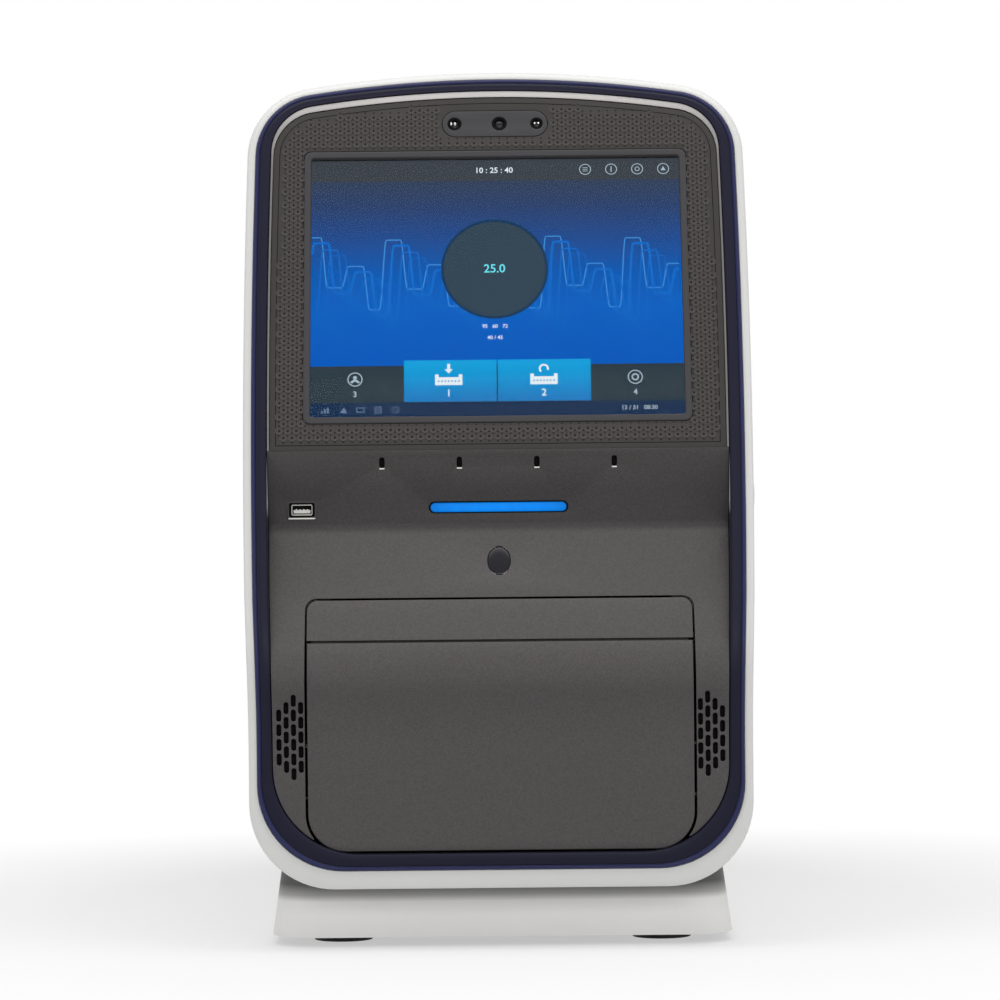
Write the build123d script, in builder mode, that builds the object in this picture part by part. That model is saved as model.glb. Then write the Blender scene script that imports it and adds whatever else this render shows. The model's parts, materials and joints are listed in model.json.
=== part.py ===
from build123d import *

import os
from math import cos, radians, sin, sqrt, tan

os.makedirs("parts", exist_ok=True)

# Real-time PCR machine, in millimetres.
# X runs across, Y to the rear and Z up. The bench is Z = 0 and the origin is
# under the middle of the body. The front, with the drawer, looks to minus Y.

# Overall size
body_depth = 640
head_top = 577
head_bottom = 40
front_y = -body_depth / 2
rear_y = body_depth / 2
reach = 400

# Front outline of the head
foot_half = 162
knee_z = 125
bow_half = foot_half + 2.5
bow_z = 225
waist_half = foot_half + 4.9
waist_arc_z = 360
shoulder_half = foot_half + 2.8
crown_arc = 800
crown_radius = 48
heel_radius = 55

# Side line of the front: a leaning screen above an upright drawer
lean = 19
ridge_y = front_y + 47
ridge_z = 322
rim_y = front_y + 3
bend_radius = 120

# Grey face: ridge, waist, brow and toe
waist_y = ridge_y + 2
waist_z = 272
waist_radius = 12
brow_z = 182
brow_radius = 60
roll_z = 160
toe_z = 50
toe_tuck = 6
face_wall = 3

# Bands seen round the front, from the white edge inwards
band_side = 5.6
band_top = 5
band_bottom = 12
ring_side = 10
ring_top = 7.9
ring_bottom = 11
rim_side = 1.4
rim_top = 4

# Walls and fits
shell_wall = 3
seam = 0.4
fit = 0.3
run_fit = 0.05
sheet = 2

# Front shell and trim ring, as depths behind the leaning front
shell_setback = 1.5
shell_depth = 60
shell_round = 2.5
ring_proud = 1.2
stripe_width = 2
stripe_step = 0.8
ring_seat = 8
ring_flange = 3
skirt_depth = 26
skirt_wall = 2.2
surround_setback = 1
surround_wall = 3

# Screen
screen_width = 2 * (foot_half - 39.1)
screen_height = 184.3
screen_rise = 116
screen_corner = 2
frame_width = 4.6
frame_setback = 0.4
frame_depth = 3.8
glass_border = 3
glass_thick = 2
panel_thick = 9

# Sensor window over the screen
sensor_width = 70.5
sensor_height = 18.6
sensor_rise = 232.3
sensor_thick = 3
lens_places = (-27, 3, 28)
lens_bores = (9, 9.6, 8)
lens_depth = 9

# Drawer front
drawer_half = foot_half - 37.8
drawer_top = 225
drawer_bottom = 64.4
drawer_gap = 0.7
drawer_crown = 6.5
drawer_heel = 24
groove_z = 199
groove = 1.2
lip_drop = 6
lip_wall = 1.6
strip_ledge = 14
strip_wall = 2
rib_reach = 33
rib_low = 82
rib_height = 80
rib_wall = 3
drawer_travel = 240

# Details of the grey face
mic_width = 3.5
mic_height = 7
mic_pitch = 50.5
mic_z = 314
light_width = 91
light_height = 7.8
light_z = 284.5
eye_width = 15.2
eye_height = 18.6
eye_z = 249.7
usb_x = 33.7 - foot_half
usb_z = 283.7
usb_width = 13.9
usb_height = 7.2
usb_recess = 1.6
usb_depth = 18
usb_tongue = 1.8
usb_tongue_drop = 2.6
slot_width = 3.2
slot_height = 7.7
slot_pitch = 9.4
column_pitch = 4.7
column_counts = (4, 5, 6, 5)
speaker_x = drawer_half + 3.8
speaker_z = 138.2
speaker_width = 18
speaker_height = 58
speaker_depth = 14

# Standby button on the right side of the front shell
button_y = front_y + 74
button_z = 291
button_diameter = 16
button_proud = 1.2
button_travel = 1

# Plinth and feet
foot_height = 6
foot_diameter = 40
foot_x = foot_half - 57
foot_y = body_depth / 2 - 85
plinth_half = foot_half - 11.5
plinth_taper = 8
plinth_front = front_y + 34
plinth_rear = rear_y - 24
plinth_corner = 30
plinth_wall = 3
plinth_rise = 62

# Chassis
base_top = 55
base_sheet = 3
base_flange = 18
frame_x = foot_half - 31
frame_front = front_y + 88
frame_top = 500
frame_gap = 8
frame_rear_length = 300
frame_window_length = 200
frame_window_height = 120
frame_window_rise = 10
deck_z = 262
deck_sheet = 4

# Covers
cover_split = 505
cover_edge_x = foot_half - 44

# Rear panel and what sits in it
panel_setback = 3
vent_z = 250
vent_height = 46
vent_pitch = 9
vent_count = 22
fan_size = 60
fan_depth = 25
fan_bore = 57
fan_x = 48
fan_z = 420
fan_slot = 3.4
fan_slot_pitch = 6.2
fan_hub = 24
fan_blades = 7
entry_x = foot_half - 64
entry_z = 122
entry_width = 30
entry_height = 60
entry_depth = 36
inlet_width = 24
inlet_height = 17
inlet_depth = 19
rocker_width = 13
rocker_height = 20
rocker_depth = 10
rocker_pin = 2.4
rocker_pin_depth = 5
rocker_swing = 20
ports_x = 64 - foot_half
ports_z = 110
ports_pitch = 26
port_depth = 21
jack_width = 16
jack_height = 13.6
stack_width = 14.6
stack_height = 15.8
panel_screw_x = foot_half - 12

# Electronics
supply_x = 67 - frame_x
supply_width = 88
supply_length = body_depth / 4
supply_y = rear_y - 34 - supply_length / 2
supply_height = 62
board_y = rear_y - 170
board_z = 350
board_length = 180
board_height = 150

# Drawer inside
block_y = front_y + 190
block_width = 118
block_depth = 80
block_height = 22
block_top = 182
well_pitch = 9
well_mouth = 6.4
well_depth = 15
well_taper = 6
block_flange = 4
deck_top = 186
deck_plate = 3
deck_half = drawer_half - 6.2
nest_width = 129
nest_depth = 87
nest_wall = 2
nest_drop = 8
carriage_front = front_y + 26
carriage_floor = 78
carriage_rear = front_y + 360
carriage_half = drawer_half - 10.2
rail_height = 36
rail_z = 112
rail_depth = 14
rail_start = front_y + 58
rail_length = 372
rail_inner_depth = 10
rail_inner_length = 394
peltier_size = 38
peltier_thick = 3.8
sink_base = 8
sink_depth = 110
sink_width = 134
shelf_inner = 61
fin_count = 15
fin_thick = 1.6
fin_height = 52

# Drawer drive
screw_diameter = 10
screw_x = carriage_half - 30
screw_z = 69
screw_front = front_y + 76
screw_rear = front_y + 386
bearing_length = 6
bearing_width = 20
bearing_top = 77
motor_size = 28
motor_length = 44
motor_shaft = 5
coupling_diameter = 16
coupling_length = 14
nut_width = 24
nut_bottom = 58
nut_length = 20

# Heated cover
cover_width = 150
cover_depth = 116
cover_height = 26
cover_bottom = 207
cover_travel = 12
cover_wall = 3
platen_thick = 6
rod_diameter = 8
rod_x = cover_width / 2 + 21
actuator_size = 28
actuator_height = 40
platen_hole = 5

# Optics
column_half = 60
column_wall = 4
column_top = 505
split_z = 350
fold_z = 445
bulkhead_y = front_y + 312
bulkhead_thick = 5
bulkhead_half = frame_x - 27
wheel_y = bulkhead_y - 26
wheel_diameter = 100
wheel_thick = 5
filter_radius = 35
filter_diameter = 24
filter_thick = 3.5
filter_count = 6
shaft_diameter = 6
field_lens_diameter = 108
lens_edge = 3
lens_rise = 8
hub_diameter = 18
window_size = 50
light_hole = 30
barrel_length = 36
wheel_motor = 28
mirror_length = 136

sin_lean = sin(radians(lean))
cos_lean = cos(radians(lean))
tan_lean = tan(radians(lean))
screen_plane = Plane(
    origin=(0, ridge_y, ridge_z), x_dir=(1, 0, 0), z_dir=(0, -cos_lean, sin_lean)
)


# Profiles and blocks that the front pieces share
def head_outline(side=0, top=0, bottom=0):
    """Front outline of the head, set in from the white shell's edge."""
    low = head_bottom + bottom
    high = head_top - top
    foot = foot_half - side
    bow = (bow_half - side, bow_z)
    waist = (waist_half - side, waist_arc_z)
    edge = shoulder_half - side
    edge_z = high - crown_arc + sqrt(crown_arc**2 - edge**2)
    with BuildSketch() as outline:
        with BuildLine():
            Line((-foot, low), (foot, low))
            for hand in (1, -1):
                Line((hand * foot, low), (hand * foot, knee_z))
                TangentArc((hand * foot, knee_z), (hand * bow[0], bow_z), tangent=(0, 1))
                ThreePointArc(
                    (hand * bow[0], bow_z), (hand * waist[0], waist[1]), (hand * edge, edge_z)
                )
            ThreePointArc((edge, edge_z), (0, high), (-edge, edge_z))
        make_face()
        fillet([v for v in outline.vertices() if abs(v.Y - edge_z) < 0.01], crown_radius - side)
        fillet([v for v in outline.vertices() if abs(v.Y - low) < 0.01], heel_radius)
    return outline.sketch


def front_line(setback):
    """Upright place, bend height and leaning place of a line behind the front."""
    upright = rim_y + setback
    bend_z = ridge_z + (upright - ridge_y - setback / cos_lean) / tan_lean
    high_z = head_top + 80
    high_y = ridge_y + setback / cos_lean + (high_z - ridge_z) * tan_lean
    return upright, bend_z, high_y, high_z


def front_layer(near, far=None):
    """Side section of the layer between two depths behind the front."""
    y_near, bend_near, high_near, high_z = front_line(near)
    radii = {bend_near: bend_radius - near}
    if far is None:
        inner = [(rear_y, high_z), (rear_y, 0)]
    else:
        y_far, bend_far, high_far, high_z = front_line(far)
        inner = [(high_far, high_z), (y_far, bend_far), (y_far, 0)]
        radii[bend_far] = bend_radius - far
    with BuildSketch() as layer:
        with BuildLine():
            Polyline((y_near, 0), (y_near, bend_near), (high_near, high_z), *inner, close=True)
        make_face()
        for bend_z, radius in radii.items():
            fillet([v for v in layer.vertices() if abs(v.Y - bend_z) < 0.01], radius)
    return layer.sketch


def front_block(outline, near, far=None):
    """Solid inside a front outline, between two depths behind the front."""
    with BuildPart() as block:
        with BuildSketch(Plane.XZ):
            add(outline)
        extrude(amount=reach, both=True)
        with BuildSketch(Plane.YZ):
            add(front_layer(near, far))
        extrude(amount=reach, both=True, mode=Mode.INTERSECT)
    return block.part


def behind_face(shift):
    """Side section of all that lies behind the grey face moved back by shift."""
    with BuildSketch() as section:
        with BuildLine():
            face = Polyline(
                (ridge_y + shift, ridge_z),
                (waist_y + shift, waist_z),
                (front_y + shift, brow_z),
                (front_y + shift, roll_z),
            )
            toe = TangentArc(face @ 1, (front_y + toe_tuck + shift, toe_z), tangent=(0, -1))
            Polyline(toe @ 1, (rear_y, toe_z), (rear_y, ridge_z), face @ 0)
        make_face()
        fillet([v for v in section.vertices() if abs(v.Y - waist_z) < 0.01], waist_radius)
        fillet([v for v in section.vertices() if abs(v.Y - brow_z) < 0.01], brow_radius)
    return section.sketch


def face_block(outline, near, far):
    """Solid inside a front outline that follows the grey face."""
    with BuildPart() as block:
        with BuildSketch(Plane.XZ):
            add(outline)
        extrude(amount=reach, both=True)
        with BuildSketch(Plane.YZ):
            add(behind_face(near))
            add(behind_face(far), mode=Mode.SUBTRACT)
        extrude(amount=reach, both=True, mode=Mode.INTERSECT)
    return block.part


def face_solid(outline, near, back):
    """Solid inside a front outline, from the grey face back to an upright plane."""
    with BuildPart() as block:
        with BuildSketch(Plane.XZ):
            add(outline)
        extrude(amount=reach, both=True)
        with BuildSketch(Plane.YZ):
            add(behind_face(near))
            with Locations((back, 0)):
                Rectangle(
                    2 * reach, 4 * reach, align=(Align.MIN, Align.CENTER), mode=Mode.SUBTRACT
                )
        extrude(amount=reach, both=True, mode=Mode.INTERSECT)
    return block.part


def slot_shape(width, height):
    """Slot with eight corners, for grilles."""
    with BuildSketch() as slot:
        Rectangle(width, height)
        chamfer(slot.vertices(), min(width, height) * 0.3)
    return slot.sketch


def rounded_panel(half, low, high, heel, crown):
    """Upright panel outline with its own lower and upper corner radii."""
    with BuildSketch() as panel:
        with Locations((0, (low + high) / 2)):
            Rectangle(2 * half, high - low)
        if heel > 0:
            fillet(panel.vertices().group_by(Axis.Y)[0], heel)
        if crown > 0:
            fillet(panel.vertices().group_by(Axis.Y)[-1], crown)
    return panel.sketch


def face_y(z):
    """Place of the grey face's slope between its waist and its brow."""
    return waist_y + (front_y - waist_y) * (waist_z - z) / (waist_z - brow_z)


def on_front_line(edge, depth):
    """True for an edge that lies in the front surface at this depth."""
    upright, bend_z, high_y, high_z = front_line(depth)
    for share in (0, 0.5, 1):
        point = edge @ share
        lean_y = ridge_y + depth / cos_lean + (point.Z - ridge_z) * tan_lean
        near_line = abs(point.Y - lean_y) < 0.05 or abs(point.Y - upright) < 0.05
        near_bend = abs(point.Z - bend_z) < bend_radius * tan(radians(lean / 2)) + 0.1
        if not near_line and not (near_bend and point.Y < lean_y + 4):
            return False
    return True


def outside(edge, inset):
    """True for an edge that lies on the head's outer skin, not set in from it."""
    point = edge @ 0.5
    limit = head_outline(inset, inset, inset)
    return not limit.face().is_inside(Vector(point.X, point.Z, 0))


ring_in = band_side + ring_side, band_top + ring_top, band_bottom + ring_bottom
rim_in = ring_in[0] + fit + rim_side, ring_in[1] + fit + rim_top, ring_in[2] + fit
shell_edge = head_outline()
shell_inside = head_outline(shell_wall, shell_wall, shell_wall)
ring_pocket = head_outline(band_side, band_top, band_bottom)
ring_edge = head_outline(band_side + fit, band_top + fit, band_bottom + fit)
stripe_edge = head_outline(*(size + fit + stripe_width for size in (band_side, band_top, band_bottom)))
skirt_edge = head_outline(*(size - skirt_wall for size in ring_in))
skirt_pocket = head_outline(*(size - skirt_wall - fit for size in ring_in))
ring_inside = head_outline(*ring_in)
face_edge = head_outline(*(size + fit for size in ring_in))
rim_inside = head_outline(*rim_in)
surround_edge = head_outline(*(size + fit for size in rim_in))

# White front shell with its round edge, ring seat and button hole
with BuildPart() as front_shell:
    add(front_block(shell_edge, shell_setback, shell_depth))
    add(front_block(shell_inside, ring_seat + ring_flange, shell_depth + 5), mode=Mode.SUBTRACT)
    add(front_block(ring_pocket, -20, ring_seat), mode=Mode.SUBTRACT)
    add(front_block(skirt_pocket, -20, shell_depth + 5), mode=Mode.SUBTRACT)
    with BuildSketch(Plane.YZ):
        with Locations((button_y, button_z)):
            Circle(button_diameter / 2 + fit)
    extrude(amount=reach, mode=Mode.SUBTRACT)
    outer_edges = [
        edge
        for edge in front_shell.edges()
        if on_front_line(edge, shell_setback) and outside(edge, 1)
    ]
    fillet(outer_edges, shell_round)
front_shell.part.label = "front_shell"

# Dark trim ring: raised band, outer stripe and a skirt that lines the recess
with BuildPart() as trim_ring:
    add(front_block(ring_edge, stripe_step - ring_proud, ring_seat - fit))
    add(front_block(stripe_edge, -ring_proud, ring_seat - fit))
    add(front_block(skirt_edge, ring_seat - fit, skirt_depth))
    add(front_block(ring_inside, -20, shell_depth), mode=Mode.SUBTRACT)
trim_ring.part.label = "trim_ring"

# Bright rim between the ring and the screen surround, ending at the ridge
with BuildPart() as bezel_rim:
    add(front_block(face_edge, 0, surround_setback + surround_wall))
    add(front_block(rim_inside, -20, shell_depth), mode=Mode.SUBTRACT)
    split(bisect_by=Plane.XY.offset(ridge_z + fit), keep=Keep.TOP)
bezel_rim.part.label = "bezel_rim"

# Textured surround of the screen, with openings for the screen frame and the sensors
frame_outer_width = screen_width + 2 * frame_width
frame_outer_height = screen_height + 2 * frame_width
with BuildPart() as screen_surround:
    add(front_block(surround_edge, surround_setback, surround_setback + surround_wall))
    split(bisect_by=Plane.XY.offset(ridge_z + fit), keep=Keep.TOP)
    with BuildSketch(screen_plane):
        with Locations((0, screen_rise)):
            RectangleRounded(frame_outer_width + 2 * fit, frame_outer_height + 2 * fit, 5)
        with Locations((0, sensor_rise)):
            SlotOverall(sensor_width + 2 * fit, sensor_height + 2 * fit)
    extrude(amount=shell_depth, both=True, mode=Mode.SUBTRACT)
screen_surround.part.label = "screen_surround"

# Frame that holds the glass
with BuildPart() as screen_frame:
    with BuildSketch(screen_plane.offset(-frame_setback)):
        with Locations((0, screen_rise)):
            RectangleRounded(frame_outer_width, frame_outer_height, 5)
            RectangleRounded(screen_width, screen_height, screen_corner, mode=Mode.SUBTRACT)
    extrude(amount=-frame_depth)
screen_frame.part.label = "screen_frame"

# Touch glass
glass_setback = frame_setback + frame_depth
with BuildPart() as touch_glass:
    with BuildSketch(screen_plane.offset(-glass_setback)):
        with Locations((0, screen_rise)):
            Rectangle(screen_width + 2 * glass_border, screen_height + 2 * glass_border)
    extrude(amount=-glass_thick)
touch_glass.part.label = "touch_glass"

# Display panel with its driver board on the back
panel_front = glass_setback + glass_thick
with BuildPart() as display_panel:
    with BuildSketch(screen_plane.offset(-panel_front)):
        with Locations((0, screen_rise)):
            Rectangle(screen_width + 2, screen_height + 2)
    extrude(amount=-panel_thick)
    with BuildSketch(screen_plane.offset(-panel_front - panel_thick)):
        with Locations((0, screen_rise - 20)):
            Rectangle(screen_width * 0.6, screen_height * 0.4)
    extrude(amount=-4)
display_panel.part.label = "display_panel"

# Dark sensor window with three bores, and the three lens barrels behind it
with BuildPart() as sensor_window:
    with BuildSketch(screen_plane.offset(-surround_setback)):
        with Locations((0, sensor_rise)):
            SlotOverall(sensor_width, sensor_height)
        for place, bore in zip(lens_places, lens_bores):
            with Locations((place, sensor_rise)):
                Circle(bore / 2 + fit, mode=Mode.SUBTRACT)
    extrude(amount=-sensor_thick)
sensor_window.part.label = "sensor_window"

with BuildPart() as sensor_cameras:
    with BuildSketch(screen_plane.offset(-surround_setback - 0.6)):
        for place, bore in zip(lens_places, lens_bores):
            with Locations((place, sensor_rise)):
                Circle(bore / 2)
    extrude(amount=-lens_depth)
    with BuildSketch(screen_plane.offset(-surround_setback - sensor_thick - fit)):
        with Locations((0, sensor_rise)):
            Rectangle(sensor_width, sensor_height - 4)
    extrude(amount=-sheet)
sensor_cameras.part.label = "sensor_cameras"

# Grey face: one moulding over and beside the drawer
drawer_hole = rounded_panel(
    drawer_half + drawer_gap, head_bottom, drawer_top + drawer_gap, 0, drawer_crown + drawer_gap
)
drawer_corner = rounded_panel(
    drawer_half + drawer_gap,
    drawer_bottom - drawer_gap,
    drawer_top + drawer_gap,
    drawer_heel + drawer_gap,
    drawer_crown + drawer_gap,
)
with BuildPart() as fascia:
    add(face_block(face_edge, 0, face_wall))
    with BuildSketch(Plane.XZ) as drawer_opening:
        add(drawer_corner)
        with Locations((0, drawer_bottom)):
            Rectangle(2 * (drawer_half - drawer_heel + 8), drawer_heel * 1.6)
    extrude(amount=reach, both=True, mode=Mode.SUBTRACT)
    with BuildSketch(Plane.XZ):
        with Locations((0, mic_z)):
            with GridLocations(mic_pitch, 1, 4, 1):
                add(slot_shape(mic_width, mic_height))
        with Locations((0, light_z)):
            SlotOverall(light_width, light_height)
        with Locations((0, eye_z)):
            Ellipse(eye_width / 2, eye_height / 2)
        with Locations((usb_x, usb_z)):
            RectangleRounded(usb_width + 3.3, usb_height + 2.4, 1.2)
        for hand in (1, -1):
            for column, count in enumerate(column_counts):
                with Locations((hand * (speaker_x + (3 - column) * column_pitch), speaker_z)):
                    with GridLocations(1, slot_pitch, 1, count):
                        add(slot_shape(slot_width, slot_height))
    extrude(amount=reach, mode=Mode.SUBTRACT)
fascia.part.label = "fascia"

# Four microphone inserts behind their slots
mic_y = ridge_y + (waist_y - ridge_y) * (ridge_z - mic_z) / (ridge_z - waist_z)
with BuildPart() as microphones:
    with BuildSketch(Plane.XZ.offset(-(mic_y + face_wall + fit))):
        with Locations((0, mic_z)):
            with GridLocations(mic_pitch, 1, 4, 1):
                Rectangle(mic_width + 4, mic_height + 4)
    extrude(amount=-3)
microphones.part.label = "microphones"

# Light bar lens in its slot, with the board that lights it
light_y = ridge_y + (waist_y - ridge_y) * (ridge_z - light_z) / (ridge_z - waist_z)
with BuildPart() as light_bar:
    with BuildSketch(Plane.XZ.offset(-(light_y + 0.8))):
        with Locations((0, light_z)):
            SlotOverall(light_width - 2 * fit, light_height - 2 * fit)
    extrude(amount=-(face_wall + 2))
light_bar.part.label = "light_bar"

with BuildPart() as light_board:
    with BuildSketch(Plane.XZ.offset(-(light_y + face_wall + 2.8))):
        with Locations((0, light_z)):
            Rectangle(light_width + 6, light_height + 6)
    extrude(amount=-1.6)
light_board.part.label = "light_board"

# Oval window of the presence sensor, square to the slope that it sits in
with BuildPart() as presence_sensor:
    with BuildSketch(Plane.XZ):
        with Locations((0, eye_z)):
            Ellipse(eye_width / 2 - fit, eye_height / 2 - fit)
    extrude(amount=reach, both=True)
    with BuildSketch(Plane.YZ):
        add(behind_face(0.5))
        add(behind_face(face_wall + 5), mode=Mode.SUBTRACT)
    extrude(amount=reach, both=True, mode=Mode.INTERSECT)
presence_sensor.part.label = "presence_sensor"

# Front USB port: metal shell with its tongue
with BuildPart() as front_usb_port:
    with BuildSketch(Plane.XZ.offset(-(light_y + usb_recess))):
        with Locations((usb_x, usb_z)):
            RectangleRounded(usb_width, usb_height, 0.8)
            Rectangle(usb_width - 1, usb_height - 1, mode=Mode.SUBTRACT)
    extrude(amount=-usb_depth)
    with BuildSketch(Plane.XZ.offset(-(light_y + usb_recess + usb_depth - 2))):
        with Locations((usb_x, usb_z)):
            Rectangle(usb_width - 1, usb_height - 1)
    extrude(amount=-2)
    with BuildSketch(Plane.XZ.offset(-(light_y + usb_recess + 1))):
        with Locations((usb_x, usb_z + usb_height / 2 - usb_tongue_drop)):
            Rectangle(usb_width - 3, usb_tongue)
    extrude(amount=-(usb_depth - 2))
    with BuildSketch(Plane.XZ.offset(-(waist_y + face_wall + fit))):
        with Locations((usb_x, usb_z)):
            Rectangle(usb_width + 8, usb_height + 7)
            Rectangle(usb_width - 0.5, usb_height - 0.5, mode=Mode.SUBTRACT)
    extrude(amount=-1)
front_usb_port.part.label = "front_usb_port"

# Speakers behind the two grilles
speaker_low = speaker_z - speaker_height / 2
speaker_setback = face_wall + toe_tuck * ((roll_z - speaker_low) / (roll_z - toe_z)) ** 2 + fit
with BuildPart() as speakers:
    with BuildSketch(Plane.XZ.offset(-(front_y + speaker_setback))):
        for hand in (1, -1):
            with Locations((hand * (speaker_x + 1.5 * column_pitch), speaker_z)):
                RectangleRounded(speaker_width, speaker_height, 3)
    extrude(amount=-speaker_depth)
speakers.part.label = "speakers"

# Drawer front, its top strip and the groove between them
with BuildPart() as drawer_front:
    add(
        face_block(
            rounded_panel(drawer_half, drawer_bottom, groove_z - groove / 2, drawer_heel, 0),
            0,
            face_wall,
        )
    )
    for hand in (1, -1):
        with BuildSketch(Plane.YZ.offset(hand * (carriage_half - sheet))):
            with Locations((front_y + rib_reach / 2, rib_low + rib_height / 2)):
                Rectangle(rib_reach, rib_height)
        extrude(amount=-hand * rib_wall)
    with BuildSketch(Plane.YZ):
        add(behind_face(0))
    extrude(amount=reach, both=True, mode=Mode.INTERSECT)
drawer_front.part.label = "drawer_front"

strip_low = groove_z + groove / 2
strip_back = face_y(drawer_top) + strip_ledge
strip_outline = rounded_panel(drawer_half, strip_low, drawer_top, 0, drawer_crown)
strip_inside = rounded_panel(
    drawer_half - face_wall, head_bottom, drawer_top - face_wall, 0, drawer_crown - face_wall
)
lip_outline = rounded_panel(drawer_half - face_wall, groove_z - lip_drop, strip_low + lip_drop, 0, 0)
with BuildPart() as drawer_top_strip:
    add(face_solid(strip_outline, 0, strip_back))
    add(face_solid(strip_inside, face_wall, strip_back - strip_wall), mode=Mode.SUBTRACT)
    add(face_block(lip_outline, face_wall + fit, face_wall + fit + lip_wall))
    add(
        face_block(
            rounded_panel(drawer_half - face_wall, strip_low, strip_low + lip_drop, 0, 0),
            face_wall - fit,
            face_wall + fit + lip_wall,
        )
    )
    with BuildSketch(Plane.XZ.offset(-strip_back)):
        with Locations((0, (deck_top + fit + strip_low + lip_drop) / 2)):
            Rectangle(2 * (drawer_half - drawer_crown), strip_low + lip_drop - deck_top - fit)
    extrude(amount=strip_wall)
drawer_top_strip.part.label = "drawer_top_strip"

# Standby button: cap, retaining flange and the switch behind it
button_face = waist_half + button_proud
button_flange_x = waist_half - shell_wall - 1.2
with BuildPart() as standby_button:
    with BuildSketch(Plane.YZ.offset(button_face)):
        with Locations((button_y, button_z)):
            Circle(button_diameter / 2)
    extrude(amount=button_flange_x - button_face)
    fillet(standby_button.edges().group_by(Axis.X)[-1], 0.5)
    with BuildSketch(Plane.YZ.offset(button_flange_x)):
        with Locations((button_y, button_z)):
            Circle(button_diameter / 2 + 1.6)
    extrude(amount=-1.4)
standby_button.part.label = "standby_button"

switch_x = button_flange_x - 1.4 - button_travel - fit
with BuildPart() as standby_switch:
    with BuildSketch(Plane.YZ.offset(switch_x)):
        with Locations((button_y, button_z)):
            Circle(1.8)
    extrude(amount=-3)
    with BuildSketch(Plane.YZ.offset(switch_x - 1.5)):
        with Locations((button_y, button_z)):
            Rectangle(6, 6)
    extrude(amount=-4)
    with BuildSketch(Plane.YZ.offset(switch_x - 5.5)):
        with Locations((button_y, button_z)):
            Rectangle(24, 24)
    extrude(amount=-1.6)
standby_switch.part.label = "standby_switch"

# Side and top covers: one skin in three pieces behind the front shell
cover_start = shell_depth + seam


def cover_skin():
    """Skin of the body from the front shell to the rear."""
    with BuildPart() as skin:
        add(front_block(shell_edge, cover_start))
        add(front_block(shell_inside, cover_start - 5), mode=Mode.SUBTRACT)
    return skin.part


with BuildPart() as side_cover_right:
    add(cover_skin())
    split(bisect_by=Plane.XY.offset(cover_split - seam), keep=Keep.BOTTOM)
    split(bisect_by=Plane.YZ.offset(cover_edge_x), keep=Keep.TOP)
side_cover_right.part.label = "side_cover_right"

with BuildPart() as side_cover_left:
    mirror(side_cover_right.part, about=Plane.YZ)
side_cover_left.part.label = "side_cover_left"

with BuildPart() as top_cover:
    add(cover_skin())
    split(bisect_by=Plane.XY.offset(cover_split), keep=Keep.TOP)
top_cover.part.label = "top_cover"

# Flared plinth under the head, hollow from below
plinth_depth = plinth_rear - plinth_front
with BuildPart() as base_plinth:
    with BuildSketch(Plane.XY.offset(foot_height)):
        with Locations((0, (plinth_front + plinth_rear) / 2)):
            RectangleRounded(2 * plinth_half, plinth_depth, plinth_corner)
    extrude(amount=plinth_rise - foot_height, taper=plinth_taper)
    with BuildSketch(Plane.XZ):
        add(head_outline(-fit, -fit, -fit))
    extrude(amount=reach, both=True, mode=Mode.SUBTRACT)
    riser_front = front_line(shell_depth)[0] + 1
    riser_rear = plinth_rear - 8
    with BuildSketch(Plane.XY.offset(head_bottom - fit - plinth_wall)):
        with Locations((0, (riser_front + riser_rear) / 2)):
            Rectangle(2 * cover_edge_x - 4, riser_rear - riser_front)
            Rectangle(
                2 * (cover_edge_x - 2 - 2 * plinth_wall),
                riser_rear - riser_front - 4 * plinth_wall,
                mode=Mode.SUBTRACT,
            )
            with GridLocations(1, 135, 1, 3):
                Rectangle(2 * cover_edge_x - 8, 2 * plinth_wall)
    extrude(amount=base_top - base_sheet - head_bottom + fit + plinth_wall)
    with BuildSketch(Plane.XY.offset(foot_height)):
        with Locations((0, (plinth_front + plinth_rear) / 2)):
            RectangleRounded(
                2 * (plinth_half - plinth_wall), plinth_depth - 2 * plinth_wall, plinth_corner - plinth_wall
            )
        for x in (-foot_x, foot_x):
            for y in (-foot_y, foot_y):
                with Locations((x, y)):
                    Circle(foot_diameter / 2, mode=Mode.SUBTRACT)
    extrude(
        amount=head_bottom - fit - 2 * plinth_wall - foot_height,
        taper=plinth_taper,
        mode=Mode.SUBTRACT,
    )
base_plinth.part.label = "base_plinth"

with BuildPart() as rubber_feet:
    with Locations([(x, y, 0) for x in (-foot_x, foot_x) for y in (-foot_y, foot_y)]):
        Cylinder(
            foot_diameter / 2, foot_height, align=(Align.CENTER, Align.CENTER, Align.MIN)
        )
    chamfer(rubber_feet.edges().group_by(Axis.Z)[0], 1.2)
rubber_feet.part.label = "rubber_feet"

# Steel base plate with turned-up sides, and the two uprights that stand on it
base_front = front_line(shell_depth)[0] + 2
base_rear = rear_y - panel_setback - sheet - fit
with BuildPart() as chassis_base:
    with BuildSketch(Plane.XY.offset(base_top)):
        with Locations((0, (base_front + base_rear) / 2)):
            Rectangle(2 * (frame_x + sheet), base_rear - base_front)
    extrude(amount=-base_sheet)
    with BuildSketch(Plane.XY.offset(base_top)):
        for hand in (1, -1):
            with Locations((hand * (frame_x - sheet / 2 - fit), (base_front + base_rear) / 2)):
                Rectangle(sheet, base_rear - base_front)
    extrude(amount=base_flange)
    with BuildSketch(Plane.XZ.offset(-(screw_front + bearing_length))):
        with Locations((screw_x, (base_top + bearing_top) / 2)):
            Rectangle(bearing_width, bearing_top - base_top)
        with Locations((screw_x, screw_z)):
            Circle(screw_diameter / 2 + run_fit, mode=Mode.SUBTRACT)
    extrude(amount=bearing_length)
chassis_base.part.label = "chassis_base"

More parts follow.
